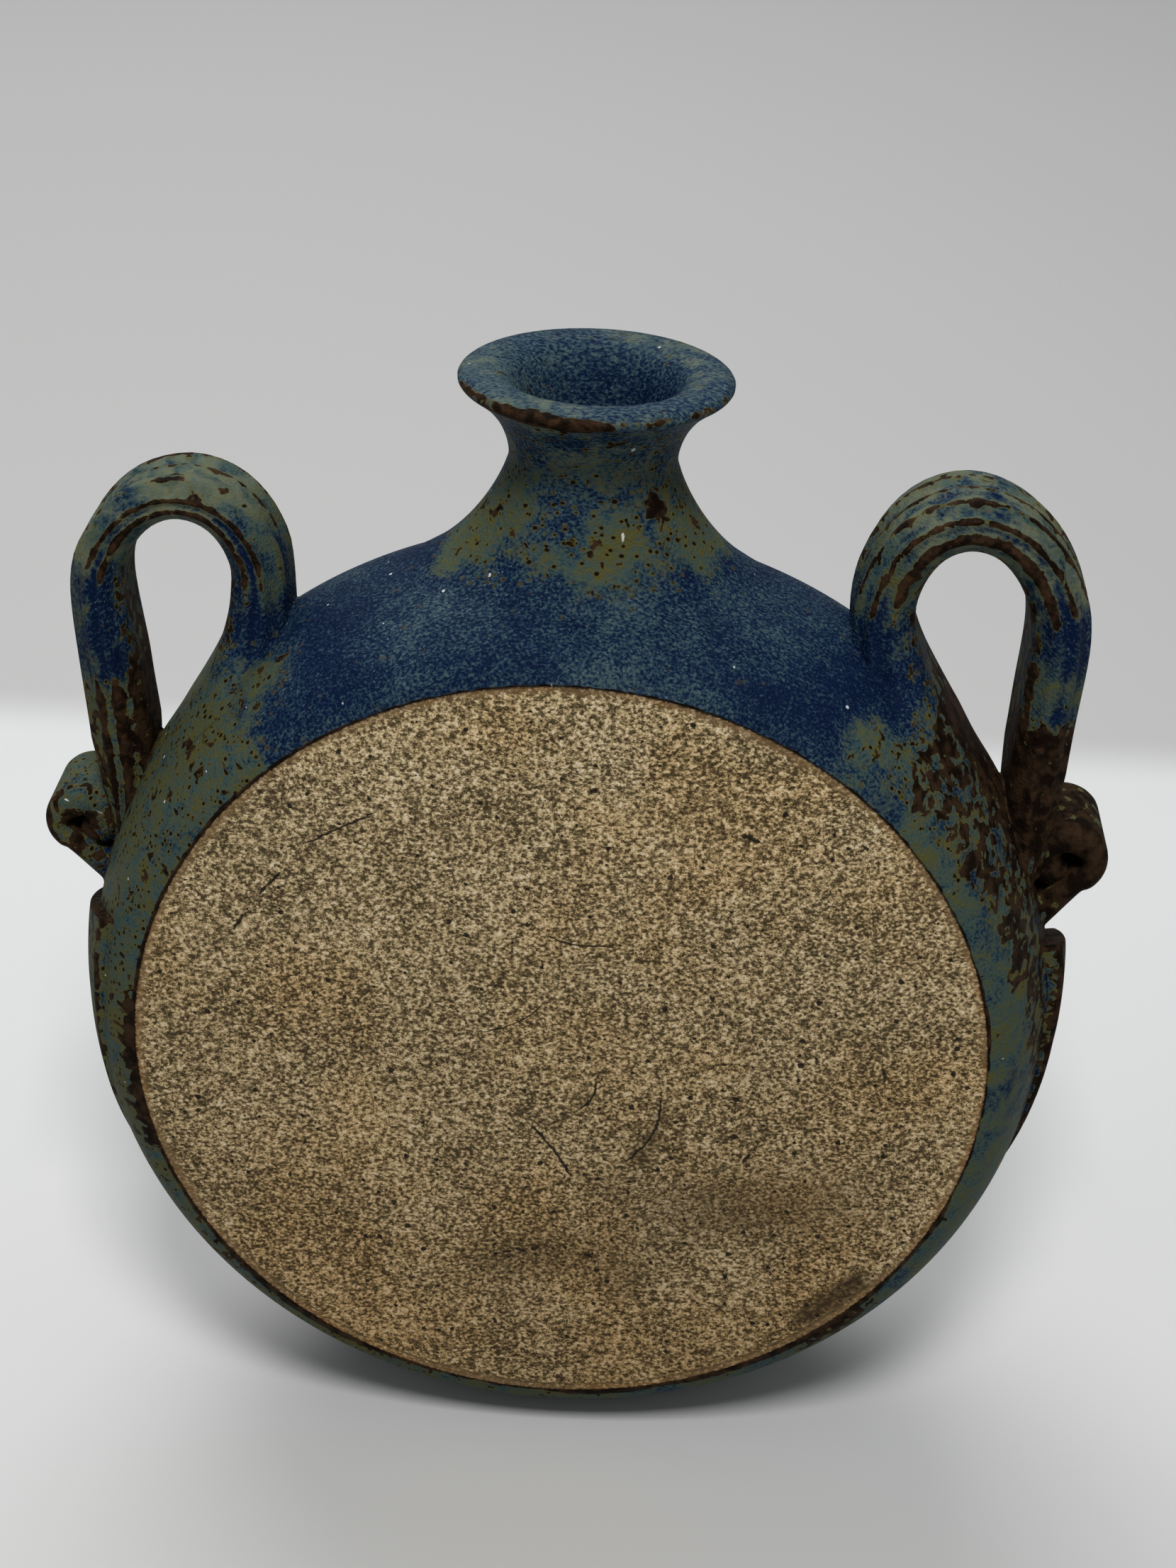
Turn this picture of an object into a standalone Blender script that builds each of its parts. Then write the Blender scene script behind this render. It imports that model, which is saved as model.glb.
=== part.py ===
"""A hand-thrown stoneware pilgrim flask, standing on its girth with its bare base disc facing -Y.

Two thrown bowls are joined rim to rim at the girth. A thrown neck, two pulled strap handles, two
rolled clay scrolls and two pressed side strips are luted onto them. Everything is in metres, +Z up,
with the origin on the resting flat, at the middle of the flask's width and depth.
"""

import math

import bmesh
import bpy
from mathutils import Vector

# Body: a flat disc, a wall that swells to the girth, and a domed far side.
DISC_RADIUS = 0.0625
DISC_EDGE_BEVEL = 0.0007
SWELL_INSET = 0.0017
GIRTH_SWELL = 0.0098
GIRTH_DEPTH = 0.027
DOME_DEPTH = 0.039
BODY_WALL = 0.005
BASE_THICKNESS = 0.006
DOME_POWER_SHARE = 2.2
RESTING_FLAT_DEPTH = 0.0018

# Neck: a flared lip, a narrow waist and a spreading foot that saddles the girth, set a little out of true.
NECK_LEAN = math.radians(1.0)
LIP_RADIUS = 0.0190
LIP_STANDOFF = 0.0239
LIP_ROUNDING = 0.0010
WAIST_RADIUS = 0.01175
WAIST_DROP = 0.0110
MOUTH_RADIUS = 0.0124
BORE_RADIUS = 0.0089
PASSAGE_RADIUS = 0.0098
NECK_FOOT_REACH = 0.0245
NECK_FOOT_DEPTH = 0.0180
NECK_FOOT_EDGE = 0.0009

# Handles: ribbed straps in the plane of the girth, one value for each side.
HANDLE_WIDTH = {"left": 0.0138, "right": 0.0165}
HANDLE_THICKNESS = {"left": 0.0072, "right": 0.0080}
ARCH_ANGLE = {"left": math.radians(48.1), "right": math.radians(48.4)}
ARCH_STANDOFF = {"left": 0.0130, "right": 0.0113}
ARCH_HALF_SPAN = {"left": 0.0116, "right": 0.0124}
ARCH_HEIGHT = {"left": 0.0145, "right": 0.0166}
ARCH_LEAN = {"left": 0.0, "right": 0.0016}
SHOULDER_ROOT_ANGLE = {"left": math.radians(43), "right": math.radians(44)}
SIDE_ROOT_ANGLE = {"left": math.radians(27), "right": math.radians(27)}
SIDE_ROOT_TAIL = math.radians(6)
ROOT_DEPTH = 0.0075
TAIL_DEPTH = 0.0012

# Scrolls: short straps that rise from the girth and roll back towards it.
SCROLL_WIDTH = {"left": 0.0145, "right": 0.0160}
SCROLL_THICKNESS = {"left": 0.0044, "right": 0.0046}
ROLL_RADIUS = {"left": 0.0056, "right": 0.0059}
ROLL_STANDOFF = {"left": 0.0051, "right": 0.0052}
ROLL_ANGLE = {"left": math.radians(19.6), "right": math.radians(20.8)}
SCROLL_FOOT_ANGLE = {"left": math.radians(13.8), "right": math.radians(14.2)}
SCROLL_FOOT_DEPTH = 0.001
ROLL_START = math.radians(-70)
ROLL_END = math.radians(200)

# Side strips: tapering bands pressed along the girth, thick and squared at their upper ends.
STRIP_WIDTH = {"left": 0.0150, "right": 0.0160}
STRIP_TOP_ANGLE = {"left": math.radians(10.3), "right": math.radians(9.6)}
STRIP_END_ANGLE = {"left": math.radians(-26), "right": math.radians(-34)}
STRIP_PROUD_TOP = {"left": 0.0024, "right": 0.0036}
STRIP_PROUD_MIDDLE = {"left": 0.0011, "right": 0.0016}
STRIP_PROUD_END = 0.0009
STRIP_SINK = 0.0012

CLEARANCE = 0.0003
OVERRUN = 0.002
MERGE = 0.00001

BODY_STEPS = 60
NECK_STEPS = 40
CURVE_STEPS = 8
ARCH_POINTS = 6
HANDLE_STATIONS = 32
ROLL_POINTS = 9
SCROLL_STATIONS = 22
STRIP_STATIONS = 16

SIDES = {"left": -1, "right": 1}
GIRTH_RADIUS = DISC_RADIUS + GIRTH_SWELL
LIP_RISE = GIRTH_RADIUS + LIP_STANDOFF
STANDING_HEIGHT = GIRTH_RADIUS - RESTING_FLAT_DEPTH
GIRTH_Y = GIRTH_DEPTH - (GIRTH_DEPTH + DOME_DEPTH) / 2

# Outlines as shares. The lip's are of its reach past the waist and of its rise above it.
LIP_UNDERSIDE_SHARES = ((0.0, 0.0), (0.05, 0.23), (0.20, 0.46), (0.47, 0.69), (0.79, 0.85), (0.95, 0.93))
THROAT_SHARES = ((1.0, 0.92), (0.4, 0.62), (0.0, 0.0), (0.0, -0.3))
FOOT_SHARES = ((0.04, 0.17), (0.13, 0.35), (0.22, 0.52), (0.32, 0.71), (0.46, 0.88), (0.67, 0.97), (1.0, 1.0))
RIB_PERIOD_SHARE = 4 / 7
GROOVE_SHARE = 0.30
EDGE_POWER_SHARE = 4.0

# Along a strap: how far along it, and its width and thickness there as shares of the full ones.
HANDLE_WIDTH_SHARES = ((0.0, 1.4), (0.14, 1.1), (0.24, 1.0), (0.8, 1.0), (1.0, 1.15))
HANDLE_THICKNESS_SHARES = (
    (0.0, 2.3), (0.10, 1.45), (0.22, 0.9), (0.45, 0.85), (0.6, 1.0), (0.84, 0.93), (0.94, 0.75), (1.0, 0.4))
SCROLL_WIDTH_SHARES = ((0.0, 0.92), (0.3, 1.0), (1.0, 0.96))
SCROLL_THICKNESS_SHARES = ((0.0, 0.40), (0.12, 0.62), (0.3, 1.0), (0.8, 1.0), (1.0, 0.72))

# Down a side strip: its width as a share, and how square its long edges are.
STRIP_WIDTH_SHARES = ((0.0, 0.94), (0.12, 1.0), (0.5, 0.95), (0.85, 0.7), (1.0, 0.35))
STRIP_EDGE_SHARES = ((0.0, 0.8), (0.4, 0.5), (1.0, 0.3))
STRIP_ACROSS_SHARES = (-1, -0.85, -0.5, 0, 0.5, 0.85, 1)


def polar(angle, radius):
    """A point in the plane of the girth: distance outwards from the centre line, and height above it."""
    return Vector((radius * math.cos(angle), radius * math.sin(angle)))


def share_at(table, along):
    """A table of shares read at one place, eased between its entries."""
    for (start, low), (end, high) in zip(table, table[1:]):
        if along <= end:
            part = (along - start) / (end - start)
            return low + (high - low) * part * part * (3 - 2 * part)
    return table[-1][1]


def smooth_path(points, count):
    """Evenly spaced points on a smooth curve through the given ones."""
    ends = [2 * points[0] - points[1], *points, 2 * points[-1] - points[-2]]
    fine = []
    for before, start, end, after in zip(ends, ends[1:], ends[2:], ends[3:]):
        for step in range(count):
            t = step / count
            fine.append(0.5 * (2 * start + (end - before) * t
                               + (2 * before - 5 * start + 4 * end - after) * t ** 2
                               + (3 * start - before - 3 * end + after) * t ** 3))
    fine.append(points[-1])
    travelled = [0.0]
    for start, end in zip(fine, fine[1:]):
        travelled.append(travelled[-1] + (end - start).length)
    path, k = [], 0
    for step in range(count):
        wanted = travelled[-1] * step / (count - 1)
        while k < len(fine) - 2 and travelled[k + 1] < wanted:
            k += 1
        part = (wanted - travelled[k]) / (travelled[k + 1] - travelled[k])
        path.append(fine[k].lerp(fine[k + 1], part))
    return path


def wall_reach():
    """The depth at which the swelling wall's ellipse would close, a little beyond the disc."""
    swell = GIRTH_RADIUS - DISC_RADIUS + SWELL_INSET
    return GIRTH_DEPTH / math.sqrt(1 - (SWELL_INSET / swell) ** 2)


def body_top(across, along):
    """The height of the body's outside above the girth's centre; along is below zero towards the disc."""
    if along < 0:
        swell = GIRTH_RADIUS - DISC_RADIUS + SWELL_INSET
        radius = GIRTH_RADIUS - swell * (1 - math.sqrt(1 - (along / wall_reach()) ** 2))
    else:
        radius = GIRTH_RADIUS * (1 - (along / DOME_DEPTH) ** DOME_POWER_SHARE) ** (1 / DOME_POWER_SHARE)
    return math.sqrt(radius ** 2 - across ** 2)


def wall_curve(grown, lowered=0.0):
    """The swelling wall from the disc's edge to the girth, as radius and distance from the girth."""
    inner_radius = DISC_RADIUS - SWELL_INSET
    swell = GIRTH_RADIUS - inner_radius + grown
    reach = wall_reach() + grown
    start = math.acos((GIRTH_DEPTH + grown - lowered) / reach)
    angles = [start + (math.pi / 2 - start) * step / CURVE_STEPS for step in range(CURVE_STEPS + 1)]
    return [(inner_radius + swell * math.sin(a), reach * math.cos(a)) for a in angles]


def inner_wall_curve():
    """The inside of the swelling wall, from the girth to the floor behind the disc."""
    floor_radius = DISC_RADIUS - SWELL_INSET - BODY_WALL
    swell = GIRTH_RADIUS - BODY_WALL - floor_radius
    height = GIRTH_DEPTH - BASE_THICKNESS
    angles = [math.pi / 2 * step / CURVE_STEPS for step in range(CURVE_STEPS + 1)]
    return [(floor_radius + swell * math.cos(a), height * math.sin(a)) for a in angles]


def dome_curve(grown, lift=0.0):
    """The domed far side from its crown to the girth, as radius and distance from the girth."""
    power = 2 / DOME_POWER_SHARE
    curve = []
    for step in range(CURVE_STEPS + 1):
        angle = math.pi / 2 * (1 - step / CURVE_STEPS)
        radius = (GIRTH_RADIUS + grown) * max(math.cos(angle), 0) ** power
        height = (DOME_DEPTH + grown) * math.sin(angle) ** power
        curve.append((radius, max(height, lift)))
    curve[0] = (0, curve[0][1])
    return curve


def material(name, colour, roughness):
    """A fired surface: one Principled shader with the piece's own colour."""
    made = bpy.data.materials.new(name)
    made.use_nodes = True
    shader = made.node_tree.nodes["Principled BSDF"]
    shader.inputs["Base Color"].default_value = (*colour, 1)
    shader.inputs["Roughness"].default_value = roughness
    shader.inputs["Metallic"].default_value = 0
    made.diffuse_color = (*colour, 1)
    return made


def add_object(name, mesh, place=(0, 0, 0), turn=(0, 0, 0)):
    made = bpy.data.objects.new(name, mesh)
    bpy.context.scene.collection.objects.link(made)
    made.location = place
    made.rotation_euler = turn
    return made


def turned(name, outline, steps, place, turn=(0, 0, 0)):
    """A piece turned about its own Z axis from an outline that runs down its outer side."""
    mesh = bpy.data.meshes.new(name)
    edges = [(i, i + 1) for i in range(len(outline) - 1)]
    mesh.from_pydata([(radius, 0, height) for radius, height in outline], edges, [])
    piece = add_object(name, mesh, place, turn)
    screw = piece.modifiers.new("turning", "SCREW")
    screw.steps = steps
    screw.render_steps = steps
    screw.use_merge_vertices = True
    screw.merge_threshold = MERGE
    return piece


def cut(piece, cutter):
    """The cutter's shape is taken out of the piece."""
    boolean = piece.modifiers.new("cut by " + cutter.name, "BOOLEAN")
    boolean.operation = "DIFFERENCE"
    boolean.solver = "EXACT"
    boolean.object = cutter


def as_cutter(piece):
    piece.hide_render = True
    piece.display_type = "WIRE"
    return piece


def ribbed_section():
    """A pulled strap's section: four ridges and three grooves outside, a plain inside."""
    rise = 1 / 7
    outer = [-1 + rise * step for step in range(15)]
    section = []
    for u in outer:
        edge = (1 - abs(u) ** EDGE_POWER_SHARE) ** (1 / EDGE_POWER_SHARE)
        groove = (1 + math.cos(math.tau * u / RIB_PERIOD_SHARE)) / 2
        section.append((u, edge * (1 - GROOVE_SHARE * groove)))
    section += [(u, -(1 - abs(u) ** EDGE_POWER_SHARE) ** (1 / EDGE_POWER_SHARE)) for u in (5 * rise, 0, -5 * rise)]
    return section


def plain_section():
    """A flat strap's section with rounded edges."""
    half = [math.cos(math.pi * step / 6) for step in range(7)]
    round_edge = [(1 - abs(u) ** EDGE_POWER_SHARE) ** (1 / EDGE_POWER_SHARE) for u in half]
    over = list(zip(half, round_edge))
    return over + [(-u, -v) for u, v in over[1:-1]]


def skin(name, rings, looped=False):
    """Rings of points joined in turn; the ends are closed, or joined to each other on a looped piece."""
    shape = bmesh.new()
    corners = [[shape.verts.new(point) for point in ring] for ring in rings]
    if looped:
        corners.append(corners[0])
    for first, second in zip(corners, corners[1:]):
        for i, corner in enumerate(first):
            following = (i + 1) % len(first)
            shape.faces.new((corner, first[following], second[following], second[i]))
    if not looped:
        shape.faces.new(corners[0])
        shape.faces.new(corners[-1])
    bmesh.ops.recalc_face_normals(shape, faces=shape.faces)
    mesh = bpy.data.meshes.new(name)
    shape.to_mesh(mesh)
    shape.free()
    return mesh


def strap_mesh(name, side, path, widths, thicknesses, section):
    """A strap's section swept along a path in the plane of the girth."""
    rings = []
    for k, place in enumerate(path):
        ahead = (path[min(k + 1, len(path) - 1)] - path[max(k - 1, 0)]).normalized()
        outward = Vector((-ahead.y, ahead.x))
        ring = []
        for u, v in section:
            point = place + outward * v * thicknesses[k] / 2
            ring.append((SIDES[side] * point.x, u * widths[k] / 2, point.y))
        rings.append(ring)
    return skin(name, rings)


def handle_path(side):
    """Up from the shoulder root, over the arch, and down to lie against the side."""
    points = [polar(SHOULDER_ROOT_ANGLE[side], GIRTH_RADIUS - ROOT_DEPTH)]
    foot = polar(ARCH_ANGLE[side], GIRTH_RADIUS + ARCH_STANDOFF[side])
    for step in range(ARCH_POINTS + 1):
        angle = math.pi * (1 - step / ARCH_POINTS)
        out = ARCH_HALF_SPAN[side] * math.cos(angle) - ARCH_LEAN[side] * math.sin(angle)
        points.append(foot + Vector((out, ARCH_HEIGHT[side] * math.sin(angle))))
    seat = polar(SIDE_ROOT_ANGLE[side], GIRTH_RADIUS + HANDLE_THICKNESS[side] / 4)
    points.append(points[-1].lerp(seat, 0.5))
    points.append(seat)
    points.append(polar(SIDE_ROOT_ANGLE[side] - SIDE_ROOT_TAIL, GIRTH_RADIUS - TAIL_DEPTH))
    return smooth_path(points, HANDLE_STATIONS)


def scroll_path(side):
    """Out from the girth under the roll, then round it and back towards the wall."""
    points = [polar(SCROLL_FOOT_ANGLE[side], GIRTH_RADIUS - SCROLL_FOOT_DEPTH)]
    centre = polar(ROLL_ANGLE[side], GIRTH_RADIUS + ROLL_STANDOFF[side])
    middle_radius = ROLL_RADIUS[side] - SCROLL_THICKNESS[side] / 2
    for step in range(ROLL_POINTS + 1):
        angle = ROLL_START + (ROLL_END - ROLL_START) * step / ROLL_POINTS
        points.append(centre + polar(angle, middle_radius))
    return smooth_path(points, SCROLL_STATIONS)


def handle_mesh(name, side, grown=0.0):
    path = handle_path(side)
    along = [k / (len(path) - 1) for k in range(len(path))]
    widths = [HANDLE_WIDTH[side] * share_at(HANDLE_WIDTH_SHARES, a) + 2 * grown for a in along]
    thicknesses = [HANDLE_THICKNESS[side] * share_at(HANDLE_THICKNESS_SHARES, a) + 2 * grown for a in along]
    return strap_mesh(name, side, path, widths, thicknesses, ribbed_section())


def scroll_mesh(name, side):
    path = scroll_path(side)
    along = [k / (len(path) - 1) for k in range(len(path))]
    widths = [SCROLL_WIDTH[side] * share_at(SCROLL_WIDTH_SHARES, a) for a in along]
    thicknesses = [SCROLL_THICKNESS[side] * share_at(SCROLL_THICKNESS_SHARES, a) for a in along]
    return strap_mesh(name, side, path, widths, thicknesses, plain_section())


def strip_mesh(name, side):
    """A crowned band along the girth, thick and square at its top, thinning and narrowing downwards."""
    rings = []
    for k in range(STRIP_STATIONS):
        down = k / (STRIP_STATIONS - 1)
        angle = STRIP_TOP_ANGLE[side] + (STRIP_END_ANGLE[side] - STRIP_TOP_ANGLE[side]) * down
        proud = STRIP_PROUD_END + (STRIP_PROUD_MIDDLE[side] - STRIP_PROUD_END) * (1 - down)
        proud += (STRIP_PROUD_TOP[side] - STRIP_PROUD_MIDDLE[side]) * (1 - down) ** 3
        half_width = STRIP_WIDTH[side] / 2 * share_at(STRIP_WIDTH_SHARES, down)
        edge = share_at(STRIP_EDGE_SHARES, down)
        inner = GIRTH_RADIUS - STRIP_SINK
        ring = []
        for u in STRIP_ACROSS_SHARES:
            crown = edge + (1 - edge) * (1 - u * u)
            ring.append((u, inner + (GIRTH_RADIUS + proud - inner) * crown))
        ring += [(1, inner), (0, inner), (-1, inner)]
        places = [(u, polar(angle, radius)) for u, radius in ring]
        rings.append([(SIDES[side] * place.x, u * half_width, place.y) for u, place in places])
    return skin(name, rings)


def neck_mesh(name):
    """Lip, throat, waist and a foot whose every ring follows the girth it saddles."""
    waist = LIP_RISE - WAIST_DROP
    crest = LIP_RISE + LIP_ROUNDING
    plain = [((MOUTH_RADIUS + LIP_RADIUS) / 2, crest), (LIP_RADIUS - LIP_ROUNDING, crest), (LIP_RADIUS, LIP_RISE)]
    for out, up in reversed(LIP_UNDERSIDE_SHARES):
        plain.append((WAIST_RADIUS + (LIP_RADIUS - WAIST_RADIUS) * out, waist + WAIST_DROP * up))
    throat = []
    for out, up in reversed(THROAT_SHARES):
        throat.append((BORE_RADIUS + (MOUTH_RADIUS - BORE_RADIUS) * out, waist + WAIST_DROP * up))

    turns = [math.tau * step / NECK_STEPS for step in range(NECK_STEPS)]
    rings = [[(radius * math.cos(a), radius * math.sin(a), height) for a in turns] for radius, height in plain]

    def saddle_ring(out, down, lift):
        ring = []
        for a in turns:
            x = (WAIST_RADIUS + (NECK_FOOT_REACH - WAIST_RADIUS) * out) * math.cos(a)
            y = (WAIST_RADIUS + (NECK_FOOT_DEPTH - WAIST_RADIUS) * out) * math.sin(a)
            ring.append((x, y, waist + (body_top(x, y) + lift - waist) * down))
        return ring

    rings += [saddle_ring(out, down, NECK_FOOT_EDGE) for out, down in FOOT_SHARES]
    rings.append(saddle_ring(1, 1, -OVERRUN))
    seat = GIRTH_RADIUS - OVERRUN * 2
    rings.append([(PASSAGE_RADIUS * math.cos(a), PASSAGE_RADIUS * math.sin(a), seat) for a in turns])
    rings += [[(radius * math.cos(a), radius * math.sin(a), height) for a in turns] for radius, height in throat]
    return skin(name, rings, looped=True)


def settle(piece):
    """The piece's modifiers are worked into its mesh, and its round faces are shaded smooth."""
    graph = bpy.context.evaluated_depsgraph_get()
    mesh = bpy.data.meshes.new_from_object(piece.evaluated_get(graph))
    piece.modifiers.clear()
    piece.data = mesh
    mesh.shade_smooth()
    mesh.set_sharp_from_angle(angle=math.radians(35))


for old in list(bpy.data.objects):
    bpy.data.objects.remove(old)

girth_centre = (0, GIRTH_Y, STANDING_HEIGHT)
towards_disc = (math.pi / 2, 0, 0)
towards_dome = (-math.pi / 2, 0, 0)

# The whole outside of the body, grown by the clearance, seats every piece that is luted onto it.
envelope_outline = [(0, GIRTH_DEPTH + CLEARANCE), *wall_curve(CLEARANCE)]
envelope_outline += [(radius, -height) for radius, height in reversed(dome_curve(CLEARANCE))][1:]
envelope = as_cutter(turned("body_envelope", envelope_outline, BODY_STEPS, girth_centre, towards_disc))

passage_outline = [(0, LIP_RISE), (PASSAGE_RADIUS, LIP_RISE), (PASSAGE_RADIUS, 0), (0, 0)]
neck_turn = (0, NECK_LEAN, 0)
passage = as_cutter(turned("passage_cutter", passage_outline, NECK_STEPS, girth_centre, neck_turn))

below_outline = [(0, 0), (GIRTH_RADIUS, 0), (GIRTH_RADIUS, -GIRTH_RADIUS), (0, -GIRTH_RADIUS)]
below = as_cutter(turned("resting_flat_cutter", below_outline, 4, (0, GIRTH_Y, 0)))

# The back bowl carries the bare base disc.
back_outline = [(0, GIRTH_DEPTH), (DISC_RADIUS - DISC_EDGE_BEVEL, GIRTH_DEPTH)]
back_outline += wall_curve(0, DISC_EDGE_BEVEL) + inner_wall_curve()
back_outline.append((0, GIRTH_DEPTH - BASE_THICKNESS))
back_bowl = turned("back_bowl", back_outline, BODY_STEPS, girth_centre, towards_disc)

# The front bowl is the domed far side.
front_outline = dome_curve(0, CLEARANCE) + list(reversed(dome_curve(-BODY_WALL, CLEARANCE)))
front_bowl = turned("front_bowl", front_outline, BODY_STEPS, girth_centre, towards_dome)

for bowl in (back_bowl, front_bowl):
    cut(bowl, passage)
    cut(bowl, below)

neck = add_object("neck", neck_mesh("neck"), girth_centre, neck_turn)
cut(neck, envelope)

pieces = [back_bowl, front_bowl, neck]
for side in SIDES:
    handle = add_object(side + "_handle", handle_mesh(side + "_handle", side), girth_centre)
    cut(handle, envelope)
    room = as_cutter(add_object(side + "_handle_room", handle_mesh(side + "_room", side, CLEARANCE), girth_centre))
    scroll = add_object(side + "_scroll", scroll_mesh(side + "_scroll", side), girth_centre)
    cut(scroll, envelope)
    cut(scroll, room)
    strip = add_object(side + "_side_strip", strip_mesh(side + "_side_strip", side), girth_centre)
    cut(strip, envelope)
    pieces += [handle, scroll, strip]

for piece in pieces:
    settle(piece)

flask = bpy.data.objects.new("flask", None)
bpy.context.scene.collection.objects.link(flask)

finishes = {
    "back_bowl": material("bare_stoneware", (0.42, 0.30, 0.17), 0.9),
    "front_bowl": material("cobalt_glaze", (0.03, 0.07, 0.14), 0.5),
    "neck": material("neck_glaze", (0.08, 0.13, 0.15), 0.5),
    "left_handle": material("left_handle_glaze", (0.07, 0.11, 0.12), 0.5),
    "right_handle": material("right_handle_glaze", (0.07, 0.10, 0.10), 0.5),
    "left_scroll": material("left_scroll_glaze", (0.07, 0.09, 0.09), 0.55),
    "right_scroll": material("right_scroll_glaze", (0.06, 0.05, 0.04), 0.55),
    "left_side_strip": material("left_strip_glaze", (0.08, 0.09, 0.07), 0.55),
    "right_side_strip": material("right_strip_glaze", (0.05, 0.04, 0.04), 0.55),
}
for piece in pieces:
    piece.data.materials.clear()
    piece.data.materials.append(finishes[piece.name])
    piece.parent = flask
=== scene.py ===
"""The looks of the pottery pilgrim flask: its clay, its breaking glaze and the soft daylight it stands in."""

import math

import bpy
import numpy as np
from mathutils import Matrix, Vector


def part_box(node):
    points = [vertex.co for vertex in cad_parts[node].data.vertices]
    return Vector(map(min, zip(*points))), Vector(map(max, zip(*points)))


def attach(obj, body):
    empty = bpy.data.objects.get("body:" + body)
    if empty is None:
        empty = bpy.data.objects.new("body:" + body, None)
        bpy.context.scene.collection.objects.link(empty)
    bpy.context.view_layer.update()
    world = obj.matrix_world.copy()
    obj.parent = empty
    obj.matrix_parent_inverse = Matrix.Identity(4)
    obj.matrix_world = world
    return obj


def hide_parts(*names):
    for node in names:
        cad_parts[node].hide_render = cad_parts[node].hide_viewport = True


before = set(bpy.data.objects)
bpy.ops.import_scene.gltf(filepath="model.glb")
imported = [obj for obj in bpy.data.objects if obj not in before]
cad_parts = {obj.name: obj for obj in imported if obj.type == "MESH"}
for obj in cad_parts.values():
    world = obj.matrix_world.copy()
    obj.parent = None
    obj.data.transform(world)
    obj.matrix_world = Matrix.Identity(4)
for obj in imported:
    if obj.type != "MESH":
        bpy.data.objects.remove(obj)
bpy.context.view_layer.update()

# The view. The flask stands on a pale table in soft daylight and is seen from above its bare base disc,
# a little from the right, with the picture turned slightly as it was held.
LOOK_DOWN = math.radians(29.4)
LOOK_ASIDE = math.radians(2.6)
PICTURE_TILT = math.radians(1.4)
EYE = Vector((0.0172, -0.3443, 0.294))
LENS = 60.22
SENSOR_WIDTH = 36
NEAREST_SEEN = 0.01

camera = bpy.data.objects.new("view", bpy.data.cameras.new("view"))
bpy.context.scene.collection.objects.link(camera)
camera.data.lens = LENS
camera.data.sensor_width = SENSOR_WIDTH
camera.data.clip_start = NEAREST_SEEN
turned = Matrix.Rotation(LOOK_ASIDE, 4, "Z") @ Matrix.Rotation(math.pi / 2 - LOOK_DOWN, 4, "X")
camera.matrix_world = Matrix.Translation(EYE) @ turned @ Matrix.Rotation(PICTURE_TILT, 4, "Z")
bpy.context.scene.camera = camera
bpy.context.scene.view_settings.view_transform = "Standard"


class Value:
    """One output of a node tree. Arithmetic on it adds the tree's own Math nodes."""

    def __init__(self, sheet, socket):
        self.sheet, self.socket = sheet, socket

    def output(self, name):
        return Value(self.sheet, self.socket.node.outputs[name])

    def __neg__(self):
        return self.sheet.maths("MULTIPLY", self, -1)

    def step(self, low, high):
        """Zero up to low, one from high on, and an easy slope between them."""
        ends = {"Value": self, "From Min": low, "From Max": high}
        return self.sheet.node("ShaderNodeMapRange", {"interpolation_type": "SMOOTHSTEP"}, ends)

    def clamped(self):
        return self.sheet.maths("ADD", self, 0, clamp=True)

    def parts(self):
        split = self.sheet.node("ShaderNodeSeparateXYZ", {}, {0: self})
        return [split.output(axis) for axis in "XYZ"]


# The signs of arithmetic, and the same ones with a plain number on their left, as in 1 - mask.
SIGNS = {"add": "ADD", "sub": "SUBTRACT", "mul": "MULTIPLY", "truediv": "DIVIDE", "pow": "POWER"}
for sign, kind in SIGNS.items():
    setattr(Value, f"__{sign}__", lambda own, other, kind=kind: own.sheet.maths(kind, own, other))
    setattr(Value, f"__r{sign}__", lambda own, other, kind=kind: own.sheet.maths(kind, other, own))


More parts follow.
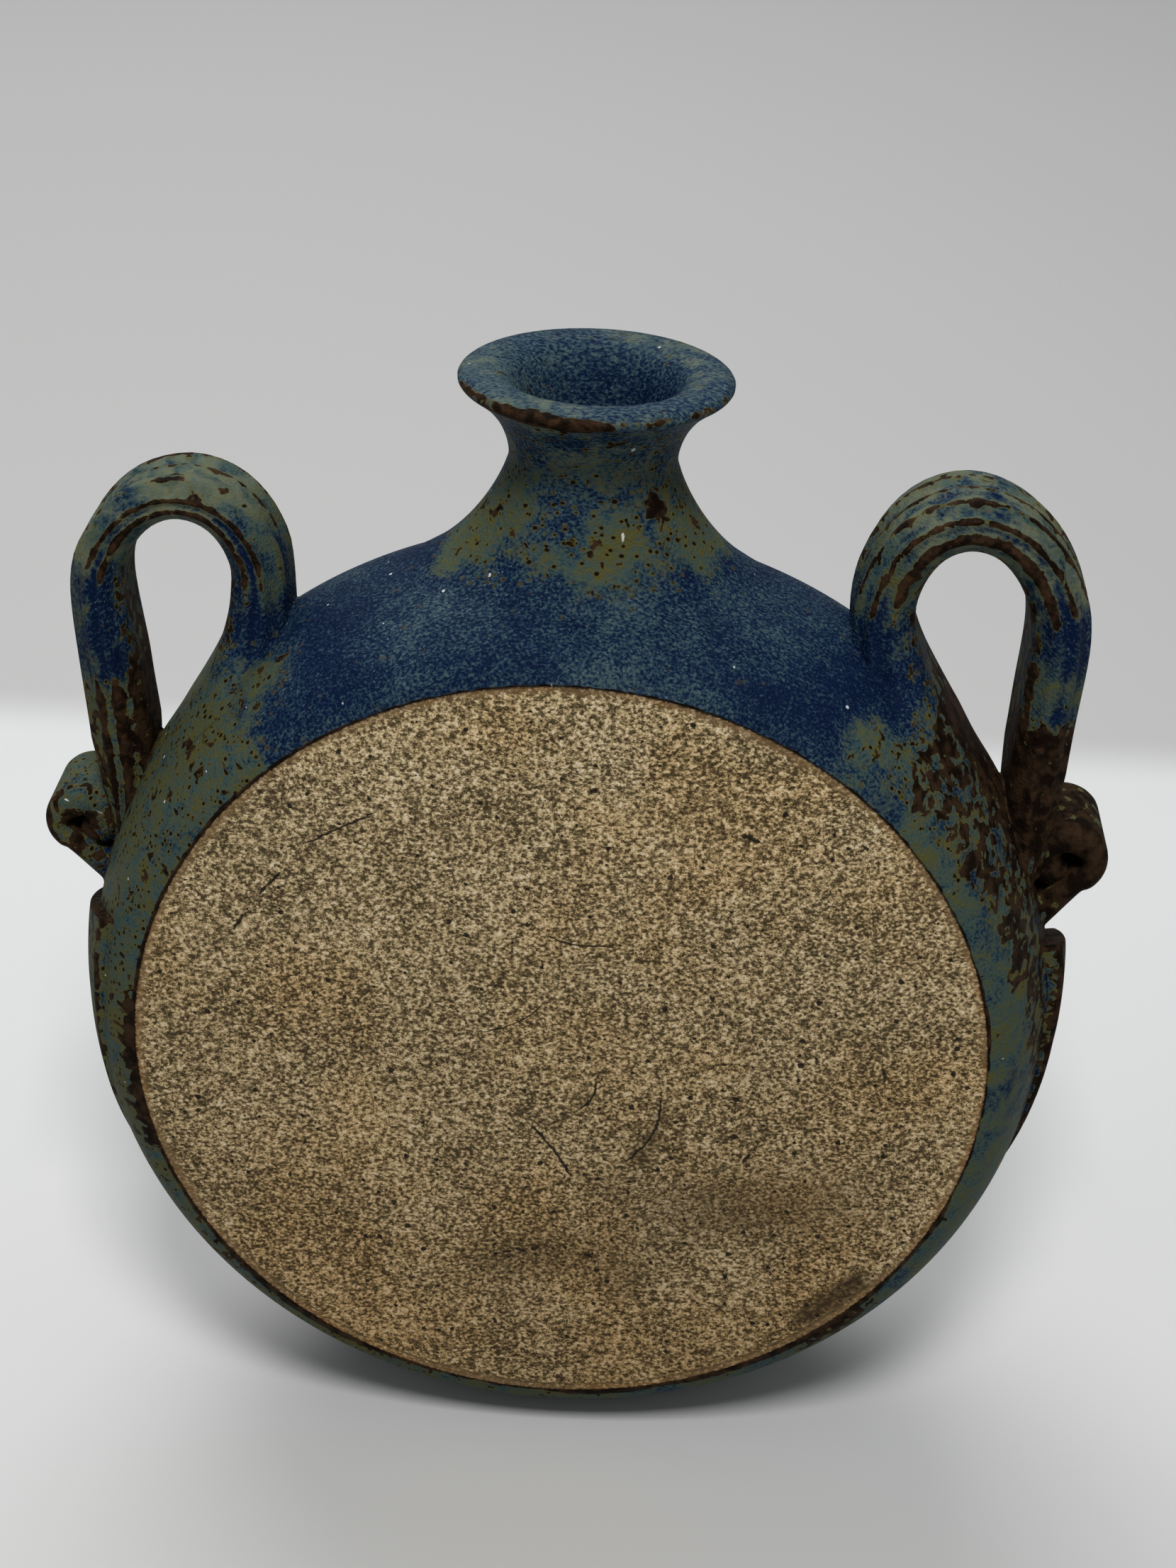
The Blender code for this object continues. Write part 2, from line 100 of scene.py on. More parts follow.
class Sheet:
    """A node tree that is filled in by expressions, one node for each call of node()."""

    def __init__(self, tree):
        self.tree = tree

    def node(self, kind, settings, inputs):
        made = self.tree.nodes.new(kind)
        for name, setting in settings.items():
            if name == "stops":
                ramp = made.color_ramp
                while len(ramp.elements) < len(setting):
                    ramp.elements.new(1)
                for element, (place, colour) in zip(ramp.elements, setting):
                    element.position, element.color = place, (*colour, 1)
            else:
                setattr(made, name, setting)
        for name, value in inputs.items():
            if isinstance(name, str):
                self.plug(next(s for s in made.inputs if s.name == name and s.enabled), value)
            else:
                self.plug(made.inputs[name], value)
        return Value(self, next((s for s in made.outputs if s.enabled), None))

    def plug(self, socket, value):
        if isinstance(value, Value):
            self.tree.links.new(value.socket, socket)
        else:
            socket.default_value = value

    def maths(self, operation, *values, clamp=False):
        settings = {"operation": operation, "use_clamp": clamp}
        return self.node("ShaderNodeMath", settings, dict(enumerate(values)))

    def vector(self, x, y, z):
        return self.node("ShaderNodeCombineXYZ", {}, {0: x, 1: y, 2: z})

    def noise(self, place, scale, detail=2.0, roughness=0.5, distortion=0.0):
        sizes = {"Vector": place, "Scale": scale, "Detail": detail}
        return self.node("ShaderNodeTexNoise", {}, {**sizes, "Roughness": roughness, "Distortion": distortion})

    def cells(self, place, size, dimensions="3D"):
        """Scattered cells: how far off the middle of one, and two shares that each cell draws."""
        settings = {"feature": "F1", "voronoi_dimensions": dimensions}
        found = self.node("ShaderNodeTexVoronoi", settings, {"Vector": place, "Scale": 1 / size})
        drawn = self.node("ShaderNodeSeparateColor", {}, {0: found.output("Color")})
        return found.output("Distance") * size, drawn, drawn.output("Green")

    def ramp(self, share, *stops):
        return self.node("ShaderNodeValToRGB", {"stops": stops}, {"Fac": share})

    def blend(self, below, above, mask, way="MIX"):
        """One colour laid over another where the mask is one."""
        below, above = [c if isinstance(c, Value) else (*c, 1) for c in (below, above)]
        settings = {"data_type": "RGBA", "blend_type": way}
        return self.node("ShaderNodeMix", settings, {"Factor": mask, "A": below, "B": above})

    def attribute(self, name):
        return self.node("ShaderNodeAttribute", {"attribute_name": name}, {}).output("Fac")


def shaded(name):
    """A new material: its node sheet, its Principled shader and its place on the object."""
    made = bpy.data.materials.new(name)
    made.use_nodes = True
    sheet = Sheet(made.node_tree)
    shader = made.node_tree.nodes["Principled BSDF"]
    place = sheet.node("ShaderNodeTexCoord", {}, {}).output("Object")
    return made, sheet, shader, place


def feed(sheet, shader, **inputs):
    """Values and links for the shader's sockets, with spaces in their names written as underscores."""
    for name, value in inputs.items():
        sheet.plug(shader.inputs[name.replace("_", " ")], value)


def new_piece(name, mesh, *materials):
    made = bpy.data.objects.new(name, mesh)
    bpy.context.scene.collection.objects.link(made)
    for finish in materials:
        mesh.materials.append(finish)
    return made


# The table top: plain, pale and matt, with painted shade: darker towards the front, where soft shadow falls,
# and a duller tone behind the flask, where the light drops.
TABLE_REACH = 4.0
TABLE_EDGE_Y = 0.2
TABLE_EDGE_SOFTNESS = 0.012
SHADED_NEAR_TONE, MIDDLE_TONE = (0.53, 0.53, 0.52), (0.63, 0.635, 0.63)
SHADED_BEHIND_TONE, CLOUD_TONE = (0.45, 0.45, 0.44), (0.69, 0.69, 0.685)
PALER_FROM, PALER_TO = -0.12, 0.18

table_white, sheet, shader, place = shaded("table_white")
_, away, _ = place.parts()
# Painted shade: the table's colour darkens towards the front, and past its edge behind the flask.
behind = away.step(TABLE_EDGE_Y - TABLE_EDGE_SOFTNESS, TABLE_EDGE_Y + TABLE_EDGE_SOFTNESS)
tone = sheet.blend(SHADED_NEAR_TONE, MIDDLE_TONE, away.step(PALER_FROM, PALER_TO))
tone = sheet.blend(tone, SHADED_BEHIND_TONE, behind)
tone = sheet.blend(tone, CLOUD_TONE, sheet.noise(place, 6.0).step(0.3, 0.7) * (1 - behind) * 0.12)
feed(sheet, shader, Base_Color=tone, Roughness=0.6)

corners = [(x * TABLE_REACH, y * TABLE_REACH, 0) for x, y in ((-1, -1), (1, -1), (1, 1), (-1, 1))]
table_mesh = bpy.data.meshes.new("table_top")
table_mesh.from_pydata(corners, [], [(0, 1, 2, 3)])
table_top = new_piece("table_top", table_mesh, table_white)

# Soft daylight: a wide window behind and above the flask, a lamp over its front, and a grey room all round.
ROOM_COLOUR = (0.93, 0.96, 1.0)
ROOM_STRENGTH = 0.27
# Each light has its place, its width and its power.
WINDOWS = (
    ("window_behind", (-0.3, 0.9, 1.3), 1.2, 16.0),
    ("lamp_over_front", (0.04, -0.5, 0.95), 0.24, 7.0),
)
AIM = Vector((0, 0, 0.08))

world = bpy.data.worlds.new("room")
bpy.context.scene.world = world
world.use_nodes = True
backdrop = world.node_tree.nodes["Background"]
backdrop.inputs["Color"].default_value = (*ROOM_COLOUR, 1)
backdrop.inputs["Strength"].default_value = ROOM_STRENGTH
for name, spot, size, power in WINDOWS:
    lamp = bpy.data.lights.new(name, "AREA")
    lamp.shape, lamp.size, lamp.energy = "SQUARE", size, power
    window = bpy.data.objects.new(name, lamp)
    bpy.context.scene.collection.objects.link(window)
    window.location = spot
    window.rotation_euler = (Vector(spot) - AIM).to_track_quat("Z", "Y").to_euler()

# The back bowl is thrown stoneware. Its base, cut flat with a wire and trimmed, faces the viewer and is bare.
# Its wall swells out to the girth under a cobalt glaze that breaks to olive and brown where it runs thin.
DISC_RADIUS = 0.0625
GIRTH_RADIUS = 0.0723
GIRTH_CENTRE = (0.0, -0.006, 0.0705)
GIRTH_DEPTH = 0.027
DOME_DEPTH = 0.039
SWELL_INSET = 0.0017
DISC_SHIFT = (-0.0003, 0.0, 0.0007)
BODY_WALL = 0.005
BASE_THICKNESS = 0.006
DOME_POWER_SHARE = 2.05
PASSAGE_RADIUS = 0.0098
GLAZE_EDGE = ((0.0619, 0.0268), (0.06205, 0.02702), (0.06232, 0.02703), (0.06252, 0.0269))
MM = 0.001
TURNS = 288
UNEVEN_SCALE = 30.0
PASSAGE_HEIGHT = 0.1
SHARP_FROM = math.radians(35)
DOUBLES_WITHIN = 0.000002


class Recipe(Sheet):
    """A Geometry Nodes tree with named inputs. run() works it into a plain mesh on an object of its own."""

    def __init__(self, name, kinds):
        super().__init__(bpy.data.node_groups.new(name, "GeometryNodeTree"))
        face = self.tree.interface
        face.new_socket("Start", in_out="INPUT", socket_type="NodeSocketGeometry")
        for title, kind in kinds.items():
            face.new_socket(title, in_out="INPUT", socket_type="NodeSocket" + kind)
        face.new_socket("Finish", in_out="INPUT", socket_type="NodeSocketMaterial")
        face.new_socket("Made", in_out="OUTPUT", socket_type="NodeSocketGeometry")
        self.given = self.tree.nodes.new("NodeGroupInput")

    def size(self, title):
        return Value(self, self.given.outputs[title])

    def close(self, made):
        real = self.node("GeometryNodeRealizeInstances", {}, {"Geometry": made})
        dressed = self.node("GeometryNodeSetMaterial", {}, {"Geometry": real, "Material": self.size("Finish")})
        self.tree.links.new(dressed.socket, self.tree.nodes.new("NodeGroupOutput").inputs[0])

    def run(self, name, start, finish, sizes):
        piece = new_piece(name, start)
        work = piece.modifiers.new(name, "NODES")
        work.node_group = self.tree
        for item in self.tree.interface.items_tree:
            if item.name in sizes:
                work[item.identifier] = sizes[item.name]
            elif item.name == "Finish":
                work[item.identifier] = finish
        mesh = bpy.data.meshes.new_from_object(piece.evaluated_get(bpy.context.evaluated_depsgraph_get()))
        piece.modifiers.clear()
        piece.data = mesh
        mesh.name = name
        return piece


wheel = Recipe("wheel", {
    "Outline Points": "Int", "Turns": "Int", "Centre": "Vector", "Disc Shift": "Vector", "Girth Depth": "Float",
    "Unevenness": "Float", "Uneven Scale": "Float", "Passage Radius": "Float", "Passage Height": "Float"})
grid_sizes = {"Size X": 1.0, "Size Y": 1.0, "Vertices X": wheel.size("Turns") + 1}
grid = wheel.node("GeometryNodeMeshGrid", {}, {**grid_sizes, "Vertices Y": wheel.size("Outline Points")})
here = wheel.node("GeometryNodeInputPosition", {}, {})
turn_share, row_share, _ = here.parts()
row = (row_share + 0.5) * (wheel.size("Outline Points") - 1)
sampled = wheel.node("GeometryNodeSampleIndex", {"data_type": "FLOAT_VECTOR", "domain": "POINT"}, {
    "Geometry": wheel.size("Start"), "Value": here, "Index": wheel.maths("ROUND", row)})
radius, _, depth = sampled.parts()
turn = (turn_share + 0.5) * math.tau
sine, cosine = wheel.maths("SINE", turn), wheel.maths("COSINE", turn)
centre_x, centre_y, centre_z = wheel.size("Centre").parts()
shift_x, _, shift_z = wheel.size("Disc Shift").parts()
towards_disc = (-depth / wheel.size("Girth Depth")).clamped() ** 2
place_x = radius * sine + shift_x * towards_disc + centre_x
place_z = wheel.maths("MAXIMUM", radius * cosine + shift_z * towards_disc + centre_z, 0)
lumps = wheel.noise(wheel.vector(place_x, depth, place_z), wheel.size("Uneven Scale"), 3.0)
place_y = depth + centre_y + (lumps - 0.5) * wheel.size("Unevenness")
spot = wheel.vector(place_x, place_y, place_z)
shaped = wheel.node("GeometryNodeSetPosition", {}, {"Geometry": grid, "Position": spot})
closed = wheel.node("GeometryNodeMergeByDistance", {}, {"Geometry": shaped, "Distance": DOUBLES_WITHIN})
bore = wheel.node("GeometryNodeMeshCylinder", {}, {
    "Vertices": 48, "Radius": wheel.size("Passage Radius"), "Depth": wheel.size("Passage Height")})
bore_place = wheel.vector(centre_x, centre_y, centre_z + wheel.size("Passage Height") / 2)
bore = wheel.node("GeometryNodeTransform", {}, {"Geometry": bore, "Translation": bore_place})
bored = wheel.node("GeometryNodeMeshBoolean", {"operation": "DIFFERENCE", "solver": "EXACT"}, {
    "Mesh 1": closed, "Mesh 2": bore})
has_bore = wheel.maths("GREATER_THAN", wheel.size("Passage Radius"), 0)
wheel.close(wheel.node("GeometryNodeSwitch", {"input_type": "GEOMETRY"}, {
    "Switch": has_bore, "False": closed, "True": bored}))


def throw(name, outline, finish, passage=PASSAGE_RADIUS, unevenness=0.0):
    """A piece turned about the body's axis from a closed outline of radius and depth from the girth."""
    start = bpy.data.meshes.new(name + "_outline")
    start.from_pydata([(radius, 0, depth) for radius, depth in outline], [], [])
    piece = wheel.run(name, start, finish, {
        "Outline Points": len(outline), "Turns": TURNS, "Centre": GIRTH_CENTRE, "Disc Shift": DISC_SHIFT,
        "Girth Depth": GIRTH_DEPTH, "Unevenness": unevenness, "Uneven Scale": UNEVEN_SCALE,
        "Passage Radius": passage, "Passage Height": PASSAGE_HEIGHT})
    piece.data.shade_smooth()
    piece.data.set_sharp_from_angle(angle=SHARP_FROM)
    return piece


def wall_radius(depth):
    """The body's outer radius at a depth from the girth, negative towards the disc."""
    swell = GIRTH_RADIUS - DISC_RADIUS + SWELL_INSET
    reach = GIRTH_DEPTH / math.sqrt(1 - (SWELL_INSET / swell) ** 2)
    near = GIRTH_RADIUS - swell * (1 - np.sqrt(1 - (np.clip(depth, -GIRTH_DEPTH, 0) / reach) ** 2))
    share = np.clip(depth, 0, DOME_DEPTH * 0.999) / DOME_DEPTH
    far = GIRTH_RADIUS * (1 - share ** DOME_POWER_SHARE) ** (1 / DOME_POWER_SHARE)
    return np.where(depth < 0, near, far)


def over_body(points):
    """Roughly how far points stand off the body's outer surface, negative inside it."""
    depth = points[:, 1] - GIRTH_CENTRE[1]
    shift = np.clip(-depth / GIRTH_DEPTH, 0, 1) ** 2
    across = points[:, 0] - DISC_SHIFT[0] * shift
    up = points[:, 2] - GIRTH_CENTRE[2] - DISC_SHIFT[2] * shift
    step = 0.0001
    slope = (wall_radius(depth + step) - wall_radius(depth - step)) / (2 * step)
    return (np.hypot(across, up) - wall_radius(depth)) / np.sqrt(1 + slope ** 2)


def vertices(mesh):
    points = np.empty(len(mesh.vertices) * 3)
    mesh.vertices.foreach_get("co", points)
    return points.reshape(-1, 3)


def stain(mesh, name, values):
    """A share for each vertex, which the glaze reads by its name."""
    kept = np.clip(values, 0, 1).astype(np.float32)
    mesh.attributes.new(name, "FLOAT", "POINT").data.foreach_set("value", kept)


def restain(mesh, name, factor, added=0.0):
    """Changes a stain that a mesh has, by a factor and an amount for each vertex."""
    data, values = mesh.attributes[name].data, np.empty(len(mesh.vertices), dtype=np.float32)
    data.foreach_get("value", values)
    data.foreach_set("value", np.clip(values * factor + added, 0, 1).astype(np.float32))


def patches(points, spots):
    """Soft round patches added up: each has its place and its reach in millimetres, and its strength."""
    total = np.zeros(len(points))
    for *middle, reach, strength in spots:
        away_from = np.linalg.norm(points - np.array(middle) * MM, axis=1)
        total += strength * np.exp(-(away_from / (reach * MM)) ** 2)
    return total


def rising(value, low, high):
    part = np.clip((value - low) / (high - low), 0, 1)
    return part * part * (3 - 2 * part)


def uneven(points, size):
    """A share from -1 to 1 that changes unevenly over about the given size."""
    ways = np.array(((1.0, 0.6, 0.3), (-0.5, 1.0, 0.7), (0.4, -0.8, 1.0), (0.9, 0.5, -1.0), (-0.7, -0.4, 1.1)))
    turns = points @ ways.T * (math.tau / size) * (1, 1.31, 0.83, 1.53, 1.17) + (0.3, 1.9, 4.1, 2.7, 5.2)
    return np.sin(turns).sum(axis=1) / 3


# Where the glaze lies thin: the neck's flare and a few drips on the shoulder.
THIN_PATCHES = (
    (-18, -11, 143, 8, 0.45), (18, -10, 147, 9, 0.5), (4, -19, 145.5, 7, 0.4),
    (-13, -13, 151, 6, 0.25), (34, -26, 128, 7, 0.2), (-30, -28, 131, 4, 0.35))
# Where iron has come through: on the neck, down the disc's edge on the left, and at its foot.
IRON_PATCHES = (
    (10.5, -14.8, 151.2, 3.0, 0.55), (3.0, -19.0, 144.0, 2.0, 0.45), (15.0, -11.0, 149.0, 3.0, 0.15),
    (-62.3, -32.8, 77.0, 2.1, 0.9), (-62.5, -32.8, 72.5, 2.1, 1.0), (-62.4, -32.8, 68.0, 2.1, 1.0),
    (-62.0, -32.8, 63.5, 2.1, 1.0), (-61.4, -32.8, 59.0, 2.1, 1.0), (-60.4, -32.8, 54.5, 2.1, 0.9),
    (40.5, -32.5, 24.5, 4.5, 0.8), (45.0, -32.5, 29.0, 3.5, 0.6), (-52.0, -32.5, 34.0, 3.0, 0.4))
# The glaze's zones, each from where it starts to where it is full: in degrees either side of the girth's top,
# by depth from the girth, by height over the table, and by distance from the middle of the neck.
LEFT_SHOULDER, RIGHT_SHOULDER, MAZE, LOW_ON_LEFT, STRAPS_FROM = (32, 47), (29, 45), (37, 45), (55, 66), 22
FAR_DOME, BY_GIRTH = (0, 0.022), (-0.013, -0.005)
NECK_UP, LIP_UP, THROAT_UP, PASSAGE_UP = (0.1385, 0.145), (0.1655, 0.1668), (0.15, 0.156), (0.135, 0.14)
ARCH_UP, LOW_LEG_DOWN = (0.135, 0.143), (-0.1225, -0.1165)
NECK_WITHIN, LIP_OUT, THROAT_OUT, PASSAGE_OUT = 0.03, (0.0128, 0.0142), (0.0125, 0.0138), (0.0104, 0.0114)
NECK_ASIDE, THROAT_CONE, FROM_GIRTH = 0.0012, (0.1515, 0.1535), (0.001, 0.005)
# The maze's front border bows back from its middle, in degrees from the top. DOME_DEGREES takes the place of an
# angle on the far dome, where an angle would draw wedges.
MAZE_BORDER, MAZE_MIDDLE, MAZE_BOW, MAZE_FADE, DOME_DEGREES = 0.0268, 41, 0.0000025, 0.0026, 75
# Every border is uneven, in wide waves and in fine ones.
WIDE_WAVES, FINE_WAVES, BORDER_WAVES = 0.026, 0.008, 0.01


def dress(mesh):
    """Stains a glazed mesh with where its glaze is thin and where iron has come through it."""
    points = vertices(mesh)
    x, y, height = points.T
    depth, up = y - GIRTH_CENTRE[1], height - GIRTH_CENTRE[2]
    from_top, from_axis = np.degrees(np.arctan2(x, up)), np.hypot(x, up)
    on_dome = rising(depth, *FAR_DOME)
    beside = from_top * (1 - on_dome) + x / GIRTH_RADIUS * DOME_DEGREES * on_dome
    beside = beside + 4.0 * uneven(points, WIDE_WAVES) + 1.6 * uneven(points, FINE_WAVES)
    on_left, on_right = rising(-beside, *LEFT_SHOULDER), rising(beside, *RIGHT_SHOULDER)
    on_strap = rising(from_axis - GIRTH_RADIUS, *FROM_GIRTH) * (np.abs(from_top) > STRAPS_FROM)
    from_neck = np.hypot(x - NECK_ASIDE, depth)
    on_neck = rising(height, *NECK_UP) * (from_neck < NECK_WITHIN)
    on_lip = rising(from_neck, *LIP_OUT) * rising(height, *LIP_UP)
    in_throat = rising(height, *THROAT_UP) * (1 - rising(from_neck, *THROAT_OUT))
    in_throat = in_throat * rising(height - from_neck, *THROAT_CONE)
    in_throat = np.maximum(in_throat, rising(height, *PASSAGE_UP) * (1 - rising(from_neck, *PASSAGE_OUT)))
    thin = 0.72 * on_left + 0.6 * on_right + 0.34 * on_neck + patches(points, THIN_PATCHES)
    thin = thin * (1 - on_lip) * (1 - in_throat) + 0.34 * on_lip
    arch, low_leg = rising(height, *ARCH_UP), rising(-height, *LOW_LEG_DOWN)
    thin = thin * (1 - on_strap) + (0.4 + 0.24 * arch + 0.44 * low_leg) * on_strap
    past_line = depth + MAZE_BORDER - (beside - MAZE_MIDDLE) ** 2 * MAZE_BOW
    past_line = past_line + 0.0012 * uneven(points, BORDER_WAVES)
    maze = rising(beside, *MAZE) * rising(past_line, 0, MAZE_FADE)
    girth_band = rising(depth, *BY_GIRTH)
    iron = maze * (0.58 + 0.34 * girth_band)
    iron = iron + on_left * (0.15 + 0.4 * girth_band * rising(-beside, *LOW_ON_LEFT))
    iron = iron + 0.11 * on_neck * (1 - on_lip) * (1 - in_throat)
    iron = iron * (1 - on_strap) + low_leg * np.where(from_top > 0, 0.95, 0.42) * on_strap
    stain(mesh, "thin", thin)
    stain(mesh, "iron", (iron + patches(points, IRON_PATCHES)) * (1 - in_throat))


# The glaze itself, shared by every glazed piece so that it runs on from one to the next. It reads where it lies
# thin, where iron has come through and where an edge has broken it from each vertex.
NAVY, BLUE = (0.003, 0.0085, 0.03), (0.0085, 0.023, 0.05)
SLATE, TEAL, PAINTED_GLINT = (0.024, 0.047, 0.066), (0.06, 0.092, 0.098), (0.15, 0.19, 0.205)
DEEP_TEAL, GREY_TEAL = (0.014, 0.038, 0.05), (0.038, 0.068, 0.068)
GREY_GREEN, OLIVE, PAINTED_SHEEN_GREEN = (0.056, 0.072, 0.048), (0.078, 0.074, 0.02), (0.16, 0.18, 0.13)
OCHRE, CHOCOLATE = (0.086, 0.072, 0.016), (0.034, 0.019, 0.01)
IRON_BLACK, IRON_RED, PINHOLE_AND_GLINT = (0.0075, 0.0045, 0.0028), (0.062, 0.026, 0.012), (0.62, 0.64, 0.64)
# How fine each unevenness of the glaze is, in waves to the metre, and how far apart flecks and pinholes lie.
GRAIN, CLOUD, PATCH, WIDE, GLINTS, MOTTLE = 1950, 90, 280, 36, 2300, 900
BREAK, RUST_GRAIN, PEEL = 560, 620, 650
FLECKS_APART, PINHOLES_APART = 0.0012, 0.0085

glaze, sheet, shader, place = shaded("breaking_cobalt_glaze")
across, away, up = place.parts()
over = up - GIRTH_CENTRE[2]
around = sheet.maths("ARCTAN2", across, over) * GIRTH_RADIUS
ring = (across * across + over * over) ** 0.5
flow = sheet.vector(around, away * 1.25, ring * 1.25)
thin, iron, broken, pooled = [sheet.attribute(name) for name in ("thin", "iron", "broken", "pooled")]

# The thick glaze: navy with finer blue and teal streaks, in soft clouds, paler beside the bare disc, with pale
# painted glints.
disc_side = GIRTH_CENTRE[1] - GIRTH_DEPTH
grain = sheet.noise(flow, GRAIN, 2.0, 0.6)
cloud = sheet.noise(place, CLOUD, 3.0, 0.55)
patch = sheet.noise(place, PATCH, 3.0, 0.6, 0.5)
wide = sheet.noise(place, WIDE, 1.0, 0.5)
beside_disc = (1 - (away - disc_side).step(0.0004, 0.003)) * (ring - DISC_RADIUS).step(-0.002, 0)
far_out = (across * across).step(0.0009, 0.0016)
on_arm = (ring - GIRTH_RADIUS).step(0.002, 0.008) * (0.03 - far_out * 0.065)
by_lip = (up - 0.163).step(0, 0.004) * 0.07
tone = grain * 1.0 + cloud * 0.36 + patch * 0.22 + wide * 0.36
# In hollows the tone drops: thick pooled glaze, and painted shade in the creases.
tone = tone + beside_disc * 0.05 - pooled * 0.12 + on_arm + by_lip - 0.495
blue = sheet.ramp(tone, (0.38, NAVY), (0.48, BLUE), (0.57, SLATE), (0.7, TEAL))
# Painted highlights: pale flecks in the colour stand in for the glaze's tiny glints of light.
painted_glints = sheet.noise(flow, GLINTS, 1.0).step(0.66, 0.74)
blue = sheet.blend(blue, PAINTED_GLINT, painted_glints * (0.15 + wide.step(0.4, 0.6) * 0.45))

# The thin glaze: smooth grey teal that turns to olive, pale with a painted sheen on top of the arches, and
# mottled with ochre.
turning = patch * 0.5 + cloud * 0.35 + grain * 0.42 + thin * 0.2 - by_lip - 0.245
green = sheet.ramp(turning, (0.38, DEEP_TEAL), (0.46, GREY_TEAL), (0.55, GREY_GREEN), (0.66, OLIVE))
# Painted highlight: high on the arches and the neck, the thin glaze is paler where the light falls on its tops.
sheen_on_top = (ring - GIRTH_RADIUS - 0.012).step(0, 0.007) * (up - 0.132).step(0, 0.008)
green = sheet.blend(green, PAINTED_SHEEN_GREEN, sheen_on_top * patch.step(0.35, 0.6) * 0.4)
mottle = sheet.noise(flow, MOTTLE, 2.5, 0.6) + (patch - 0.5) * 0.5 + (thin - 0.7) * 0.1
green = sheet.blend(green, OCHRE, mottle.step(0.52, 0.66) * (0.18 + iron * 2).clamped())
thinned = thin + (cloud - 0.5) * 1.1 + (patch - 0.5) * 0.7 + (grain - 0.5) * 0.5 - pooled * 0.25
colour = sheet.blend(blue, green, thinned.step(0.26, 0.62))

# Iron breaks through as small round flecks, dark with an ochre halo.
off_fleck, drawn, drawn_size = sheet.cells(flow, FLECKS_APART)
off_fleck = off_fleck + (grain - 0.5) * 0.0003 - drawn_size * 0.00022 - 0.00014
fleck = (drawn - sheet.maths("MAXIMUM", 0.98 - iron * 4.2, 0.36)).step(0, 0.02) * (1 - iron.step(0.3, 0.5))
halo = (1 - (off_fleck - 0.00008).step(0, 0.00034)) * fleck
colour = sheet.blend(colour, OCHRE, halo * (0.35 + iron * 3).clamped())
colour = sheet.blend(colour, IRON_BLACK, (1 - off_fleck.step(0, 0.00012)) * fleck * (iron * 9).clamped())

# Where there is more iron, or on a worn edge, it comes through in winding bands, and at last covers all.
drawn_down = sheet.vector(around, away * 0.8, ring * 0.8)
break_at = sheet.noise(drawn_down, BREAK, 2.5, 0.5, 0.4)
level = 0.735 - thin * 0.05 - iron * 0.43 - broken * 0.36 + pooled * 0.1 - (cloud - 0.5) * 0.25
shore = (break_at - level + 0.045 + broken * 0.045).step(0, 0.05)
colour = sheet.blend(colour, OCHRE, shore * (0.45 + thin * 0.25 + broken * 0.2 + iron * 0.1).clamped())
rusty = sheet.noise(place, RUST_GRAIN, 2.0)
brown = sheet.blend(IRON_BLACK, CHOCOLATE, (patch * 0.6 + rusty * 0.4).step(0.42, 0.6))
brown = sheet.blend(brown, IRON_RED, broken.step(0.6, 1.0) * rusty.step(0.5, 0.64) * 0.3)
colour = sheet.blend(colour, brown, (break_at - level).step(0, 0.02))

# At the bare disc the glaze ends in a dark brown line, thin above and wider down the sides and on the left.
line_width = (wide + (cloud - 0.5) * 0.5).step(0.46, 0.66) * 0.0012 * (0.55 - over * 9).clamped()
line_width = line_width + 0.00016 + (-across).step(0.01, 0.045) * 0.00028
off_middle = ((across - DISC_SHIFT[0]) ** 2 + (over - DISC_SHIFT[2]) ** 2) ** 0.5
off_line = off_middle - GLAZE_EDGE[0][0] + away - disc_side + (patch - 0.5) * 0.0011 - line_width
colour = sheet.blend(colour, brown, 1 - off_line.step(0, 0.00016))

# A few white pinholes, which also stand in as painted highlights for the glaze's brightest glints.
off_pin, drawn, drawn_size = sheet.cells(sheet.vector(around, away, 0.0), PINHOLES_APART, "2D")
off_pin = off_pin + (grain - 0.5) * 0.0003 - (drawn_size ** 3 * 0.00018 + 0.00007)
pin = (1 - off_pin.step(0, 0.00008)) * drawn.step(0.6, 0.62)
colour = sheet.blend(colour, PINHOLE_AND_GLINT, pin * (1 - broken.step(0.2, 0.4)) * (1 - iron.step(0.3, 0.5)) * 0.8)

relief = sheet.noise(place, PEEL, 2.0, 0.5) * 0.7 + grain * 0.8 + pin * 0.4
bump = sheet.node("ShaderNodeBump", {}, {"Strength": 0.65, "Distance": 0.0005, "Height": relief})
dull = 0.44 + cloud * 0.14 + iron * 0.2
feed(sheet, shader, Base_Color=colour, Roughness=dull, Normal=bump, Specular_IOR_Level=0.02)

# The bare clay: buff stoneware with grey-brown speckle, iron grains, knife scratches and faint kiln stains, and
# painted shade that darkens it towards the foot.
DARK_GRAIN, GREY_BROWN, OATMEAL = (0.052, 0.036, 0.016), (0.11, 0.08, 0.038), (0.196, 0.149, 0.077)
BUFF, PALE_BUFF, WHITE_GRAIN = (0.4, 0.295, 0.15), (0.62, 0.475, 0.26), (0.76, 0.67, 0.5)
BLACK_GRAIN, KILN_BROWN, RUST = (0.012, 0.009, 0.006), (0.175, 0.105, 0.045), (0.23, 0.105, 0.028)
SMOKE, SCORCH = (0.08, 0.053, 0.022), (0.03, 0.017, 0.008)
WARM_TINT, SHADE_TINT = (0.98, 0.86, 0.7), (0.69, 0.62, 0.53)
SPECKLE, CLOT, DRIFT, WARMTH, WANDER = 2050, 640, 60, 45, 700
GRAINS_APART = 0.0022

bare_clay, sheet, shader, place = shaded("bare_speckled_stoneware")
across, away, up = place.parts()
right = across - DISC_SHIFT[0]
above = up - GIRTH_CENTRE[2] - DISC_SHIFT[2]
ring = (right * right + above * above) ** 0.5 + 0.000001
